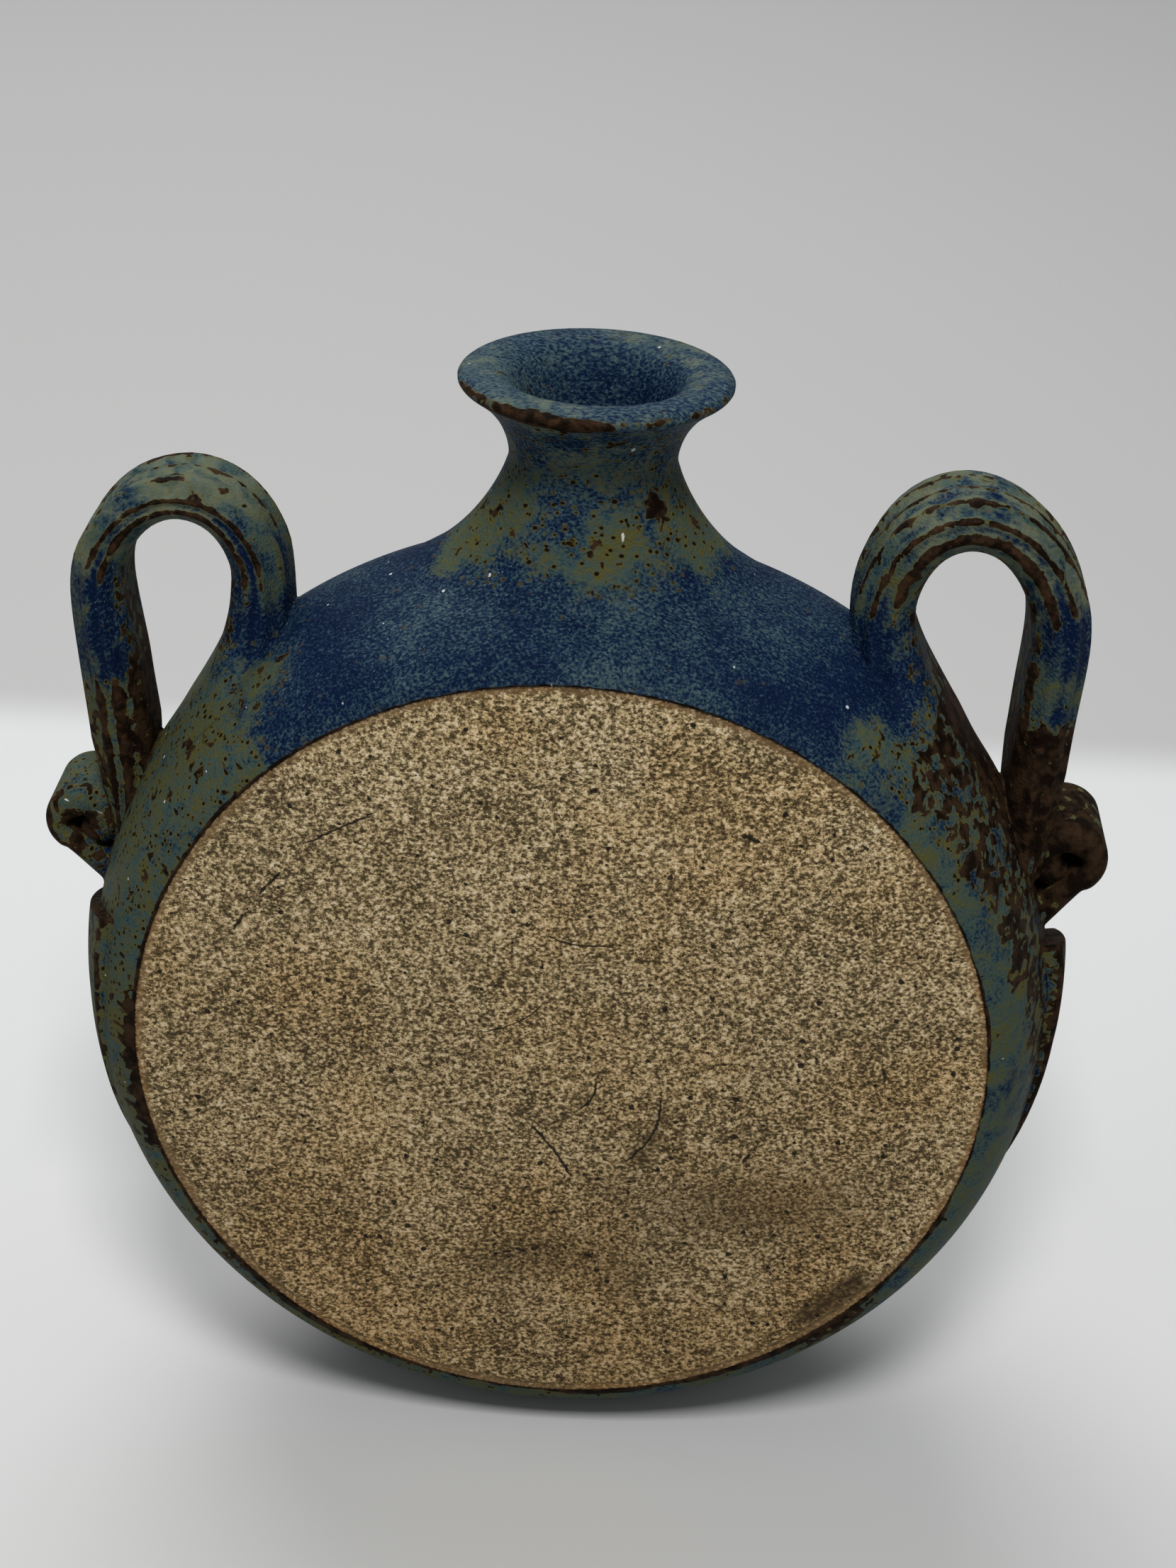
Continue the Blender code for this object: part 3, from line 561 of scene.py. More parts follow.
# Its speckle is grog of every size, from pale grains of a millimetre to dark dust, drawn out a little sideways.
drawn_out = sheet.vector(right * 0.82, away, above)
speckle = sheet.noise(drawn_out, SPECKLE, 3.0, 0.72)
clotted = sheet.noise(drawn_out, CLOT, 2.0, 0.6)
drift = sheet.noise(place, DRIFT, 3.0, 0.55)
stained = sheet.attribute("stained")
level = (speckle - 0.5) * 1.85 + (clotted - 0.5) * 0.4 + (drift - 0.5) * 0.26 + 0.5
clay = sheet.ramp(level, (0.26, DARK_GRAIN), (0.37, GREY_BROWN), (0.47, OATMEAL), (0.55, BUFF),
                  (0.68, PALE_BUFF), (0.8, WHITE_GRAIN))
warmth = sheet.noise(place, WARMTH, 2.0, 0.5).step(0.42, 0.66)
clay = sheet.blend(clay, WARM_TINT, warmth * 0.6, "MULTIPLY")
smoked = stained * 1.1 + (clotted - 0.5) * 0.9 * stained.step(0, 0.2)
clay = sheet.blend(clay, SMOKE, smoked.step(0.1, 1.1) * 0.7)
# Painted shade: the disc is darker towards its foot, as the light falls from above.
clay = sheet.blend(clay, SHADE_TINT, (above * -7.5 + 0.42).clamped(), "MULTIPLY")

# Black iron grains, the most in the brown stain, and a dark rusty tinge where the glaze's edge has bled.
off_grain, drawn, drawn_size = sheet.cells(sheet.vector(right, above, 0.0), GRAINS_APART, "2D")
off_grain = off_grain + (speckle - 0.5) * 0.0004 - (drawn_size ** 3 * 0.0003 + 0.00012)
grain_here = 1 - off_grain.step(0, 0.00008)
clay = sheet.blend(clay, BLACK_GRAIN, grain_here * (drawn + stained * 0.5).step(0.79, 0.82) * 0.95)
clay = sheet.blend(clay, SCORCH, (stained + (clotted - 0.5) * 1.6).step(0.8, 1.2) * 0.85)
inside_edge = GLAZE_EDGE[0][0] - ring
bleed = 1 - (inside_edge + (drift - 0.5) * 0.003 + (speckle - 0.5) * 0.002).step(0.0002, 0.0016)
clay = sheet.blend(clay, KILN_BROWN, bleed * 0.75)
clay = sheet.blend(clay, RUST, bleed * drift.step(0.5, 0.62) * 0.5)
# The trimming tool has left a groove just inside the edge, dark with dust at the foot.
off_groove = (inside_edge - 0.0012 + (clotted - 0.5) * 0.0012) * 3500
groove = (1 - (off_groove * off_groove).step(0.1, 1)) * (-above).step(0.025, 0.048)
clay = sheet.blend(clay, DARK_GRAIN, groove * (speckle - 0.5 + clotted - 0.5).step(-0.06, 0.06) * 0.8)
edge = 1 - (inside_edge + (speckle - 0.5) * 0.0008).step(0.00002, 0.00024)
clay = sheet.blend(clay, BLACK_GRAIN, edge * 0.85)

# Hairline cracks and the trimming knife's scratches, in millimetres: both ends across and up from the middle,
# the bow, and the half width. A line is dark to its half width and gone at the root of LINE_FADE times that.
HAIRLINES = (
    (-3.9, -10.8, 2.4, -20.1, 0.4, 0.16), (15.2, -4.9, 9.8, -17.0, 1.6, 0.14),
    (5.5, -2.2, 3.2, -7.7, 0.8, 0.13), (-2.1, 22.4, 8.0, 21.2, -0.8, 0.1),
    (-11.7, 5.3, -2.1, 11.0, -1.2, 0.08), (-42.8, 26.8, -39.4, 30.7, 0, 0.14),
    (-36.4, 35.3, -25.6, 41.3, 0, 0.11), (-46.6, 20.7, -45.0, 23.5, 0, 0.14),
    (24.6, 40.2, 27.3, 39.2, 0, 0.22), (47.0, 2.2, 47.3, 0.0, 0, 0.22), (-7.8, -35.1, -6.6, -34.6, 0, 0.22),
    (-6.0, -34.1, -4.4, -34.6, 0, 0.18), (-3.6, -34.2, -2.4, -33.6, 0, 0.22), (4.4, -34.5, 5.8, -35.1, 0, 0.2),
    (27.6, -15.7, 28.5, -14.1, 0, 0.2))
LINE_FADE = 2.6
wander = (sheet.noise(place, WANDER, 2.0) - 0.5) * 0.0008
cracks = 0.0
for line in HAIRLINES:
    from_x, from_up, to_x, to_up, bow, half_width = [size * MM for size in line]
    length = math.hypot(to_x - from_x, to_up - from_up)
    run_x, run_up = (to_x - from_x) / length, (to_up - from_up) / length
    along = ((right - from_x) * run_x + (above - from_up) * run_up) / length
    beside = (above - from_up) * run_x - (right - from_x) * run_up - along * (1 - along) * (4 * bow) + wander
    tapered = sheet.maths("MAXIMUM", (along * (1 - along) * 8).clamped(), 0.01)
    off_line = beside * beside / (half_width * half_width * LINE_FADE) / tapered
    cracks = (1 - off_line.step(0.4, 1)) + cracks
cracks = cracks.clamped()
clay = sheet.blend(clay, BLACK_GRAIN, cracks * 0.92)
pitted = speckle * 1.0 - cracks * 0.6 - grain_here * 0.2
bump = sheet.node("ShaderNodeBump", {}, {"Strength": 0.7, "Distance": 0.0003, "Height": pitted})
feed(sheet, shader, Base_Color=clay, Roughness=0.92, Specular_IOR_Level=0.15, Normal=bump)

# The wall's outline: the glaze's rolled edge, out over the swell to the girth, and back down the inside.
outer_depths = -GIRTH_DEPTH * np.cos(np.linspace(0.17, math.pi / 2, 44))
inner_turns = np.linspace(0, math.pi / 2, 14)
inner_radius = DISC_RADIUS - SWELL_INSET - BODY_WALL
inner_swell = GIRTH_RADIUS - BODY_WALL - inner_radius
floor = -(GIRTH_DEPTH - BASE_THICKNESS)
wall_outline = [(radius, -depth) for radius, depth in GLAZE_EDGE]
wall_outline += [(float(wall_radius(depth)), depth) for depth in outer_depths]
wall_outline += [(inner_radius + inner_swell * math.cos(a), floor * math.sin(a)) for a in inner_turns]
wall_outline.append(wall_outline[0])
bowl_wall = throw("back_bowl_wall", wall_outline, glaze)
dress(bowl_wall.data)

disc_rows = np.linspace(0, GLAZE_EDGE[0][0], 60)
disc_outline = [(0, floor), (inner_radius, floor)]
disc_outline += [(GLAZE_EDGE[0][0] + 0.0001, -GLAZE_EDGE[0][1] + 0.0004)]
disc_outline += [(radius, -GIRTH_DEPTH) for radius in reversed(disc_rows)]
base_disc = throw("base_disc", disc_outline, bare_clay, 0.0, 0.0004)
# The brown kiln stain low on the disc, with a darker corner where the glaze has bled in. Each spot has its
# place across the disc and over the table and its reach, in millimetres, and its strength.
STAINS = (
    (-10, 34.5, 6, 0.45), (-2, 35.5, 6, 0.45), (8, 36, 7, 0.42), (11, 30.5, 4, 0.34), (18, 46, 9, 0.5),
    (30, 47, 9, 0.5), (42, 49, 9, 0.45), (45.9, 34.1, 2.2, 1.2), (43.8, 32, 2.2, 1.2), (41.6, 29.8, 2.2, 1.2),
    (39.4, 27.8, 2.2, 1), (37.3, 25.9, 2, 0.8), (15.1, 63, 1.7, 0.8), (13.8, 59, 1.8, 0.95),
    (12, 55.7, 1.8, 0.8), (7.2, 49.6, 3.4, 0.4), (-2, 60, 8, 0.15), (29, 70, 5, 0.35), (-45.7, 64.4, 1.5, 0.8))
spots = [(across, disc_side / MM, *rest) for across, *rest in STAINS]
stain(base_disc.data, "stained", patches(vertices(base_disc.data), spots))

for piece, finish_slot in ((bowl_wall, "glaze"), (base_disc, "bare_clay")):
    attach(piece, "root")
    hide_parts("back_bowl")

# The front bowl is the second thrown bowl, domed and glazed all over, luted to the first rim to rim.
dome_turns = np.linspace(math.pi / 2, 0, 64)
dome_power = 2 / DOME_POWER_SHARE
RIPPLES = 46
RIPPLE_HEIGHT = 0.00012


def dome_skin(radius, height, ripple):
    """An easy dome with the faint rings that the thrower's fingers leave."""
    rows = []
    for a in dome_turns:
        wave = ripple * math.sin(a * RIPPLES) * math.sin(2 * a) ** 2
        out, rise = max(math.cos(a), 0) ** dome_power, math.sin(a) ** dome_power
        rows.append(((radius + wave) * out, (height + wave) * rise))
    rows[0] = (0, rows[0][1])
    return rows


outside = dome_skin(GIRTH_RADIUS, DOME_DEPTH, RIPPLE_HEIGHT)
inside = dome_skin(GIRTH_RADIUS - BODY_WALL, DOME_DEPTH - BODY_WALL, 0.0)
front_bowl = throw("front_bowl_dome", [outside[-1], *reversed(inside), *outside], glaze)
dress(front_bowl.data)
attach(front_bowl, "root")
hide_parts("front_bowl")

# The neck is thrown on its own: a dished lip, a narrow waist, and a foot that is drawn down and smoothed onto
# the girth all round. It leans a degree, as it was set by eye.
NECK_LEAN = math.radians(1.0)
LIP_SET_BACK = 0.035
LIP_RADIUS = 0.019
WAIST_RADIUS = 0.01175
WAIST_HEIGHT = 0.0852
BORE_RADIUS = 0.0089
NECK_FOOT_REACH = 0.0275
NECK_FOOT_DEPTH = 0.0205
NECK_TURNS = 240
OUTSIDE_ROWS, INSIDE_ROWS = 110, 36
# The foot's way down counts as this long where its rows are spaced out, and its very edge sinks in this far.
FOOT_WAY = 0.015
FOOT_SINKS = 0.00014
SINKS_FROM, SLIP = 0.84, 0.00005
# The foot's sole: how much of its reach each row has, and how deep it lies in the girth.
SOLE_ROWS = ((0.985, 0.0008), (0.62, 0.0016))
BORE_CLEARANCE, BORE_OVERRUN = 1.02, 0.0005
# Rows down the outside and up the throat, in millimetres: the radius and the rise over the waist. The foot's
# rows are shares: how far out the foot has spread, and how far it has come down to the girth.
LIP_ROWS = (
    (14.2, 11.8), (15.8, 12.0), (17.6, 11.8), (18.6, 11.3), (19.0, 10.7), (18.7, 10.0), (17.4, 9.1),
    (15.3, 7.4), (13.4, 5.1), (12.2, 2.5), (11.75, 0))
FOOT_ROWS = (
    (0.03, 0.14), (0.08, 0.28), (0.15, 0.43), (0.24, 0.58), (0.35, 0.72), (0.48, 0.84), (0.62, 0.925),
    (0.77, 0.973), (0.89, 0.994), (1.0, 1.0))
THROAT_ROWS = ((9.2, -3.0), (8.9, 0.8), (9.3, 4.0), (10.2, 7.2), (11.3, 9.4), (12.6, 11.0), (14.2, 11.8))
# Where the lip is worn, in degrees round it from the right: widely, and in a thin line. Then how far down from
# its edge each goes, how far up, and over how much it fades.
WORN_WIDE, WORN_THIN = ((192, 208), (262, 288)), ((160, 200), (345, 360))
WIDE_DOWN, THIN_DOWN, WIDE_UP, THIN_UP, FADE_DOWN, FADE_UP = 0.0015, 0.0002, 0.0004, 0.0008, 0.0005, 0.0006


def smooth_curve(points, count):
    """Evenly spaced places on a smooth curve through the given ones, in any number of dimensions."""
    points = np.asarray(points, float)
    ends = np.vstack((2 * points[0] - points[1], points, 2 * points[-1] - points[-2]))
    t = np.linspace(0, 1, 24, endpoint=False)[:, None]
    fine = []
    for before, start, end, after in zip(ends, ends[1:], ends[2:], ends[3:]):
        fine.append(0.5 * (2 * start + (end - before) * t + (2 * before - 5 * start + 4 * end - after) * t ** 2
                           + (3 * start - before - 3 * end + after) * t ** 3))
    fine = np.vstack((*fine, points[-1]))
    travelled = np.append(0, np.cumsum(np.linalg.norm(np.diff(fine, axis=0), axis=1)))
    wanted = np.linspace(0, travelled[-1], count)
    return np.stack([np.interp(wanted, travelled, column) for column in fine.T], axis=1)


def ring_mesh(name, rings):
    """A closed tube of rings, its last ring joined to its first."""
    rows, turns = rings.shape[:2]
    number = np.arange(rows * turns).reshape(rows, turns)
    below, beside = np.roll(number, -1, axis=0), np.roll(number, -1, axis=1)
    faces = np.stack((number, beside, np.roll(below, -1, axis=1), below), axis=-1).reshape(-1, 4)
    mesh = bpy.data.meshes.new(name)
    mesh.from_pydata(rings.reshape(-1, 3).tolist(), [], faces.tolist())
    mesh.shade_smooth()
    return mesh


def on_girth(x, y):
    """How high the girth lies over its own centre at a place across and in depth."""
    return np.sqrt(wall_radius(y) ** 2 - x ** 2)


def flared(reach, share):
    return WAIST_RADIUS + (reach - WAIST_RADIUS) * share


rows = [(radius * MM, radius * MM, rise * MM, 0) for radius, rise in LIP_ROWS]
for out, down in FOOT_ROWS:
    rows.append((flared(NECK_FOOT_REACH, out), flared(NECK_FOOT_DEPTH, out), 0, down * FOOT_WAY))
outer = smooth_curve(rows, OUTSIDE_ROWS)
outer[:, 3] /= FOOT_WAY
throat = smooth_curve([(radius * MM, radius * MM, rise * MM, 0) for radius, rise in THROAT_ROWS], INSIDE_ROWS)
turn = np.linspace(0, math.tau, NECK_TURNS, endpoint=False)
neck_rings = []
for reach, deep, rise, down in outer:
    x, y = reach * np.cos(turn), deep * np.sin(turn)
    seat = on_girth(x, y) + SLIP - FOOT_SINKS * rising(reach / NECK_FOOT_REACH, SINKS_FROM, 1.0)
    z = WAIST_HEIGHT + rise * (1 + LIP_SET_BACK * (1 - y / LIP_RADIUS)) + (seat - WAIST_HEIGHT) * down
    neck_rings.append(np.stack((x, y, z), axis=1))
# The foot's sole and the way up into the bore, just inside the body's wall.
for inward, lower in SOLE_ROWS:
    x, y = NECK_FOOT_REACH * inward * np.cos(turn), NECK_FOOT_DEPTH * inward * np.sin(turn)
    neck_rings.append(np.stack((x, y, on_girth(x, y) - lower), axis=1))
hole_x, hole_y = BORE_RADIUS * np.cos(turn), BORE_RADIUS * np.sin(turn)
wide_x, wide_y = hole_x * BORE_CLEARANCE, hole_y * BORE_CLEARANCE
for lower in (BODY_WALL, BODY_WALL - BORE_OVERRUN):
    neck_rings.append(np.stack((wide_x, wide_y, on_girth(hole_x, hole_y) - lower), axis=1))
for reach, deep, rise, down in throat[:-1]:
    z = WAIST_HEIGHT + rise * (1 + LIP_SET_BACK * (1 - deep * np.sin(turn) / LIP_RADIUS))
    neck_rings.append(np.stack((reach * np.cos(turn), deep * np.sin(turn), z), axis=1))
neck_rings = np.array(neck_rings)
lean_sine, lean_cosine = math.sin(NECK_LEAN), math.cos(NECK_LEAN)
x, z = neck_rings[..., 0].copy(), neck_rings[..., 2].copy()
neck_rings[..., 0] = x * lean_cosine + z * lean_sine
neck_rings[..., 2] = z * lean_cosine - x * lean_sine
neck_rings += GIRTH_CENTRE
neck = new_piece("neck_and_lip", ring_mesh("neck_and_lip", neck_rings), glaze)
dress(neck.data)
# The lip's edge is worn through to brown: widely on the left of the front, in a thin line on the right.
row_travel = np.append(0, np.cumsum(np.linalg.norm(np.diff(outer[:, [0, 2]], axis=0), axis=1)))
row_travel -= row_travel[np.argmax(outer[:, 0] * (outer[:, 2] > 0))]
round_lip = np.degrees(turn)
worn_side, thin_side = [
    rising(round_lip, *starts) * (1 - rising(round_lip, *ends)) for starts, ends in (WORN_WIDE, WORN_THIN)]
worn = np.zeros(neck_rings.shape[:2])
below_edge = row_travel[:, None] - (THIN_DOWN + WIDE_DOWN * worn_side)
above_edge = row_travel[:, None] + THIN_UP + WIDE_UP * worn_side
on_edge = rising(above_edge, 0, FADE_UP) * (1 - rising(below_edge, 0, FADE_DOWN))
worn[:len(outer)] = (0.66 * thin_side + 0.34 * worn_side) * on_edge
stain(neck.data, "broken", worn.ravel())
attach(neck, "root")
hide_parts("neck")

# The handles are pulled straps: ribbed along the outside by the fingers, bent over in an arch, pressed onto the
# shoulder with a wide thumbed fillet on the loop's side and laid down along the girth at the foot.
def pair(left, right):
    """One size for each side."""
    return {"left": left, "right": right}


def angles(left, right):
    return pair(math.radians(left), math.radians(right))


SIDES = pair(-1, 1)
HANDLE_WIDTH = pair(0.0138, 0.0165)
HANDLE_THICKNESS = pair(0.0072, 0.008)
ARCH_ANGLE = angles(48.1, 48.4)
ARCH_STANDOFF = pair(0.013, 0.0113)
ARCH_HALF_SPAN = pair(0.0113, 0.0121)
ARCH_HEIGHT = pair(0.014, 0.0164)
ARCH_LEAN = pair(0.001, 0.0012)
SHOULDER_ROOT_ANGLE = angles(43, 44)
SIDE_ROOT_ANGLE = math.radians(27)
SIDE_ROOT_TAIL = math.radians(6)
ROOT_DEPTH = 0.0075
TAIL_DEPTH = 0.0012
# Along a strap from its root: the share of the way, and how much of its full width or thickness it has there.
HANDLE_WIDTH_SHARES = ((0, 1.75), (0.1, 1.36), (0.18, 1.1), (0.25, 1), (0.8, 1), (1, 1.15))
ROOT_THICKNESS_SHARES = ((0, 1.5), (0.1, 1.2), (0.22, 0.98))
HANDLE_THICKNESS_SHARES = pair(
    ROOT_THICKNESS_SHARES + ((0.42, 0.73), (0.6, 0.97), (0.74, 1.14), (0.86, 1.16), (0.94, 0.85), (1, 0.4)),
    ROOT_THICKNESS_SHARES + ((0.45, 0.85), (0.6, 0.97), (0.84, 0.93), (0.94, 0.75), (1, 0.4)))
# The finger ridges round a strap's section: the angle up from the viewer's side and the half width, in degrees,
# and how far the glaze has broken on them.
RIDGES = pair(
    ((-14, 11, 1.3), (20, 10, 0.45), (64, 12, 0.18), (93, 9, 0.24), (122, 10, 0.4), (160, 14, 0.95)),
    ((-10, 13, 1.5), (30, 8, 0.62), (60, 9, 0.34), (84, 7, 0.34), (108, 8, 0.38), (140, 11, 0.85),
     (178, 14, 1.5)))
RIDGE_HEIGHT = 0.0006
SHOULDER_LEG = 24
CREASE = 0.0003
THUMBED_FILLET = 0.0075
THUMBED_SIDE = (-0.002, 0.004)
# A strap's sole lies this deep in the wall. Its ridges have broken the glaze over the arch and low down,
# between these heights. The loop's side is dark with iron and painted shade from this far inwards, fading this
# far off.
SOLE_DEPTH = 0.0012
BREAKS_UP, BREAKS_DOWN, DARKENS_DOWN = (0.134, 0.141), (-0.1225, -0.118), (-0.126, -0.118)
LOOP_SIDE, LOOP_WALL = (0.0022, 0.0032), (0.0002, 0.0016)
HANDLE_STATIONS = 64
HANDLE_ROOM = Vector((0.012, 0.009, 0.012))
PITCH = 0.0004
# A modelled mesh is first tried at every third place of its grid. Its glaze breaks where the surface bends
# outwards over BEND_REACH, and pools where it bends inwards, where it also takes painted crease shade.
COARSE = 3
MODELLED_SHARP_FROM = math.radians(42)
BEND_REACH = 0.0007
BREAKS_FROM, BREAKS_OVER, POOLED_SHADE_OVER = 0.00018, 0.0004, 0.0005


def polar(angle, radius):
    return np.array((radius * math.cos(angle), radius * math.sin(angle)))


def off_strap(points, side, path, widths, thicknesses, ridges=()):
    """How far points stand off a strap along a path in the plane of the girth, how worn its glaze is by the
    ridge they are on, and how far outwards from the strap's middle they lie."""
    flat = (points[:, [0, 2]] - (GIRTH_CENTRE[0], GIRTH_CENTRE[2])) * (SIDES[side], 1)
    ahead = np.gradient(path, axis=0)
    ahead /= np.linalg.norm(ahead, axis=1)[:, None]
    nearest = np.full(len(points), np.inf)
    station, beyond = np.zeros(len(points)), np.zeros(len(points))
    for k, (start, end) in enumerate(zip(path, path[1:])):
        leg = end - start
        along = (flat - start) @ leg / (leg @ leg)
        part = np.clip(along, 0, 1)
        gap = ((flat - start - part[:, None] * leg) ** 2).sum(axis=1)
        closer = gap < nearest
        nearest[closer] = gap[closer]
        station[closer] = k + part[closer]
        last = (k == 0) & (along < 0) | (k == len(path) - 2) & (along > 1)
        beyond[closer] = (np.abs(along - part) * np.linalg.norm(leg) * last)[closer]
    columns = (*path.T, *ahead.T, widths[:len(path)], thicknesses[:len(path)])
    along_path = [np.interp(station, np.arange(len(path)), column) for column in columns]
    middle_x, middle_z, facing_x, facing_z, width, thickness = along_path
    out = -(flat[:, 0] - middle_x) * facing_z + (flat[:, 1] - middle_z) * facing_x
    half_width, half_thick = width / 2, thickness / 2
    sideways = points[:, 1] - GIRTH_CENTRE[1]
    edge = np.minimum(half_thick * 0.96, half_width * 0.6)
    over_side = np.abs(sideways) - (half_width - edge)
    over_top = np.abs(out) - (half_thick - edge)
    outside = np.sqrt(np.maximum(over_side, 0) ** 2 + np.maximum(over_top, 0) ** 2 + beyond ** 2)
    round_section = np.degrees(np.arctan2(out / half_thick, -sideways / half_width))
    raised, worn = np.zeros(len(points)), np.zeros(len(points))
    for angle, spread, wear in ridges:
        on_ridge = np.exp(-((round_section - angle) / spread) ** 2)
        raised += on_ridge * RIDGE_HEIGHT
        worn += on_ridge ** 1.2 * wear
    return outside + np.minimum(np.maximum(over_side, over_top), 0) - edge - raised, worn, out


def joined(first, second, reach):
    """Two fields run together with a fillet of about the given reach."""
    near = np.clip(1 - np.abs(first - second) / reach, 0, 1)
    return np.minimum(first, second) - near * near * reach / 4


def pressed_on(points, strap, reach):
    """A strap pressed onto the body: its fillet runs out onto the wall and its sole sits just inside it."""
    body = over_body(points)
    tucked = 0.25 * np.clip(strap - reach, 0, None)
    return np.maximum(joined(body, strap, reach) + tucked - 0.00001, -body - SOLE_DEPTH)


def slopes(field, points, step=0.00005):
    here = field(points)
    grown = [field(points + np.eye(3)[axis] * step) for axis in range(3)]
    return here, (np.stack(grown, axis=1) - here[:, None]) / step


def settle(field, points, limit, rounds):
    """Points are brought onto the surface where the field is zero."""
    for _ in range(rounds):
        here, slope = slopes(field, points)
        move = -here[:, None] * slope / np.maximum((slope ** 2).sum(axis=1), 0.1)[:, None]
        size = np.linalg.norm(move, axis=1)[:, None]
        points = points + move * np.minimum(1, limit / np.maximum(size, 1e-12))
    return points


def modelled(name, field, low, high):
    """A closed mesh of the surface where the field is zero, with even quads."""
    low, high = np.array(low), np.array(high)
    axes = [np.arange(a, b + PITCH, PITCH) for a, b in zip(low, high)]
    counts = [len(axis) for axis in axes]
    rough = np.stack(np.meshgrid(*[axis[1::COARSE] for axis in axes], indexing="ij"), axis=-1)
    guess = field(rough.reshape(-1, 3)).reshape(rough.shape[:3])
    nearby = [np.minimum(np.arange(count) // COARSE, tried - 1) for count, tried in zip(counts, guess.shape)]
    guess = guess[np.ix_(*nearby)]
    close = np.argwhere(np.abs(guess) < PITCH * 5)
    inside = guess < 0
    inside[tuple(close.T)] = field(low + close * PITCH) < 0
    corners = inside.astype(int)
    for axis in range(3):
        corners = np.moveaxis(corners, axis, 0)
        corners = np.moveaxis(corners[:-1] + corners[1:], 0, axis)
    mixed = (corners > 0) & (corners < 8)
    number = np.full(mixed.shape, -1)
    number[mixed] = np.arange(mixed.sum())
    points = settle(field, low + (np.argwhere(mixed) + 0.5) * PITCH, PITCH * 0.6, 4)
    quads = []
    for axis in range(3):
        turned = np.moveaxis(inside, axis, 0)
        cells = np.moveaxis(number, axis, 0)
        crossing = np.argwhere(turned[:-1, 1:-1, 1:-1] != turned[1:, 1:-1, 1:-1]) + (0, 1, 1)
        i, j, k = crossing.T
        around = np.stack([cells[i, j - a, k - b] for a, b in ((0, 0), (1, 0), (1, 1), (0, 1))], axis=1)
        backwards = turned[i, j, k] != (axis == 1)
        around[backwards] = around[backwards][:, ::-1]
        quads.append(around)
    quads = np.vstack(quads)
    edges = np.vstack([quads[:, [a, (a + 1) % 4]] for a in range(4)])
    start, end = np.vstack((edges, edges[:, ::-1])).T
    counted = np.bincount(start, minlength=len(points))
    for _ in range(3):
        total = np.stack([np.bincount(start, column[end], len(points)) for column in points.T], axis=1)
        points = settle(field, points * 0.4 + total / counted[:, None] * 0.6, PITCH, 1)
    mesh = bpy.data.meshes.new(name)
    mesh.from_pydata(points.tolist(), [], quads.tolist())
    mesh.shade_smooth()
    mesh.set_sharp_from_angle(angle=MODELLED_SHARP_FROM)
    here, slope = slopes(field, points)
    normal = slope / np.linalg.norm(slope, axis=1)[:, None]
    aside = np.cross(normal, (0.0, 1.0, 0.0))
    aside /= np.maximum(np.linalg.norm(aside, axis=1), 1e-6)[:, None]
    bend = -4 * here
    for way in (aside, -aside, np.cross(normal, aside), -np.cross(normal, aside)):
        bend += field(points + way * BEND_REACH)
    bend *= over_body(points) > 0.0001
    stain(mesh, "broken", (bend - BREAKS_FROM) / BREAKS_OVER)
    stain(mesh, "pooled", -bend / POOLED_SHADE_OVER)
    return mesh


def shares(table, count):
    along = np.linspace(0, 1, count)
    places, values = np.array(table, float).T
    return np.interp(along, places, values)


def handle_path(side):
    """Up from the shoulder, over the arch, and down to lie against the girth."""
    foot = polar(ARCH_ANGLE[side], GIRTH_RADIUS + ARCH_STANDOFF[side])
    points = [polar(SHOULDER_ROOT_ANGLE[side], GIRTH_RADIUS - ROOT_DEPTH)]
    for angle in np.linspace(math.pi, 0, 7):
        out = ARCH_HALF_SPAN[side] * math.cos(angle) - ARCH_LEAN[side] * math.sin(angle)
        points.append(foot + (out, ARCH_HEIGHT[side] * math.sin(angle)))
    seat = polar(SIDE_ROOT_ANGLE, GIRTH_RADIUS + HANDLE_THICKNESS[side] / 4)
    tail = polar(SIDE_ROOT_ANGLE - SIDE_ROOT_TAIL, GIRTH_RADIUS - TAIL_DEPTH)
    points += [(points[-1] + seat) / 2, seat, tail]
    return smooth_curve(points, HANDLE_STATIONS)


for side in SIDES:
    path = handle_path(side)
    widths = HANDLE_WIDTH[side] * shares(HANDLE_WIDTH_SHARES, HANDLE_STATIONS)
    thicknesses = HANDLE_THICKNESS[side] * shares(HANDLE_THICKNESS_SHARES[side], HANDLE_STATIONS)

    def handle_field(points):
        strap = off_strap(points, side, path, widths, thicknesses, RIDGES[side])[0]
        leg, _, out = off_strap(points, side, path[:SHOULDER_LEG], widths, thicknesses, RIDGES[side])
        inner = rising(-out, *THUMBED_SIDE)
        thumbed = pressed_on(points, leg, CREASE + (THUMBED_FILLET - CREASE) * inner)
        return np.minimum(thumbed, pressed_on(points, strap, CREASE))

    low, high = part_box(side + "_handle")
    mesh = modelled(side + "_handle_strap", handle_field, low - HANDLE_ROOM, high + HANDLE_ROOM)
    dress(mesh)
    # The ridges have broken the glaze over the arch and low down, and the loop's side is dark with iron and
    # with painted shade, darker further down.
    points = vertices(mesh)
    off, worn, out = off_strap(points, side, path, widths, thicknesses, RIDGES[side])
    loop_iron_and_shade = rising(-out, *LOOP_SIDE) * (1 - rising(off, *LOOP_WALL))
    height, outside = points[:, 2], 1 - loop_iron_and_shade
    over_arch = np.maximum(rising(height, *BREAKS_UP), rising(-height, *BREAKS_DOWN))
    restain(mesh, "broken", (0.12 + 0.88 * over_arch) * outside, worn * over_arch * outside)
    restain(mesh, "iron", outside, (0.5 + 0.4 * rising(-height, *DARKENS_DOWN)) * loop_iron_and_shade)
    handle = new_piece(side + "_handle_strap", mesh, glaze)
    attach(handle, "root")
    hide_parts(side + "_handle")

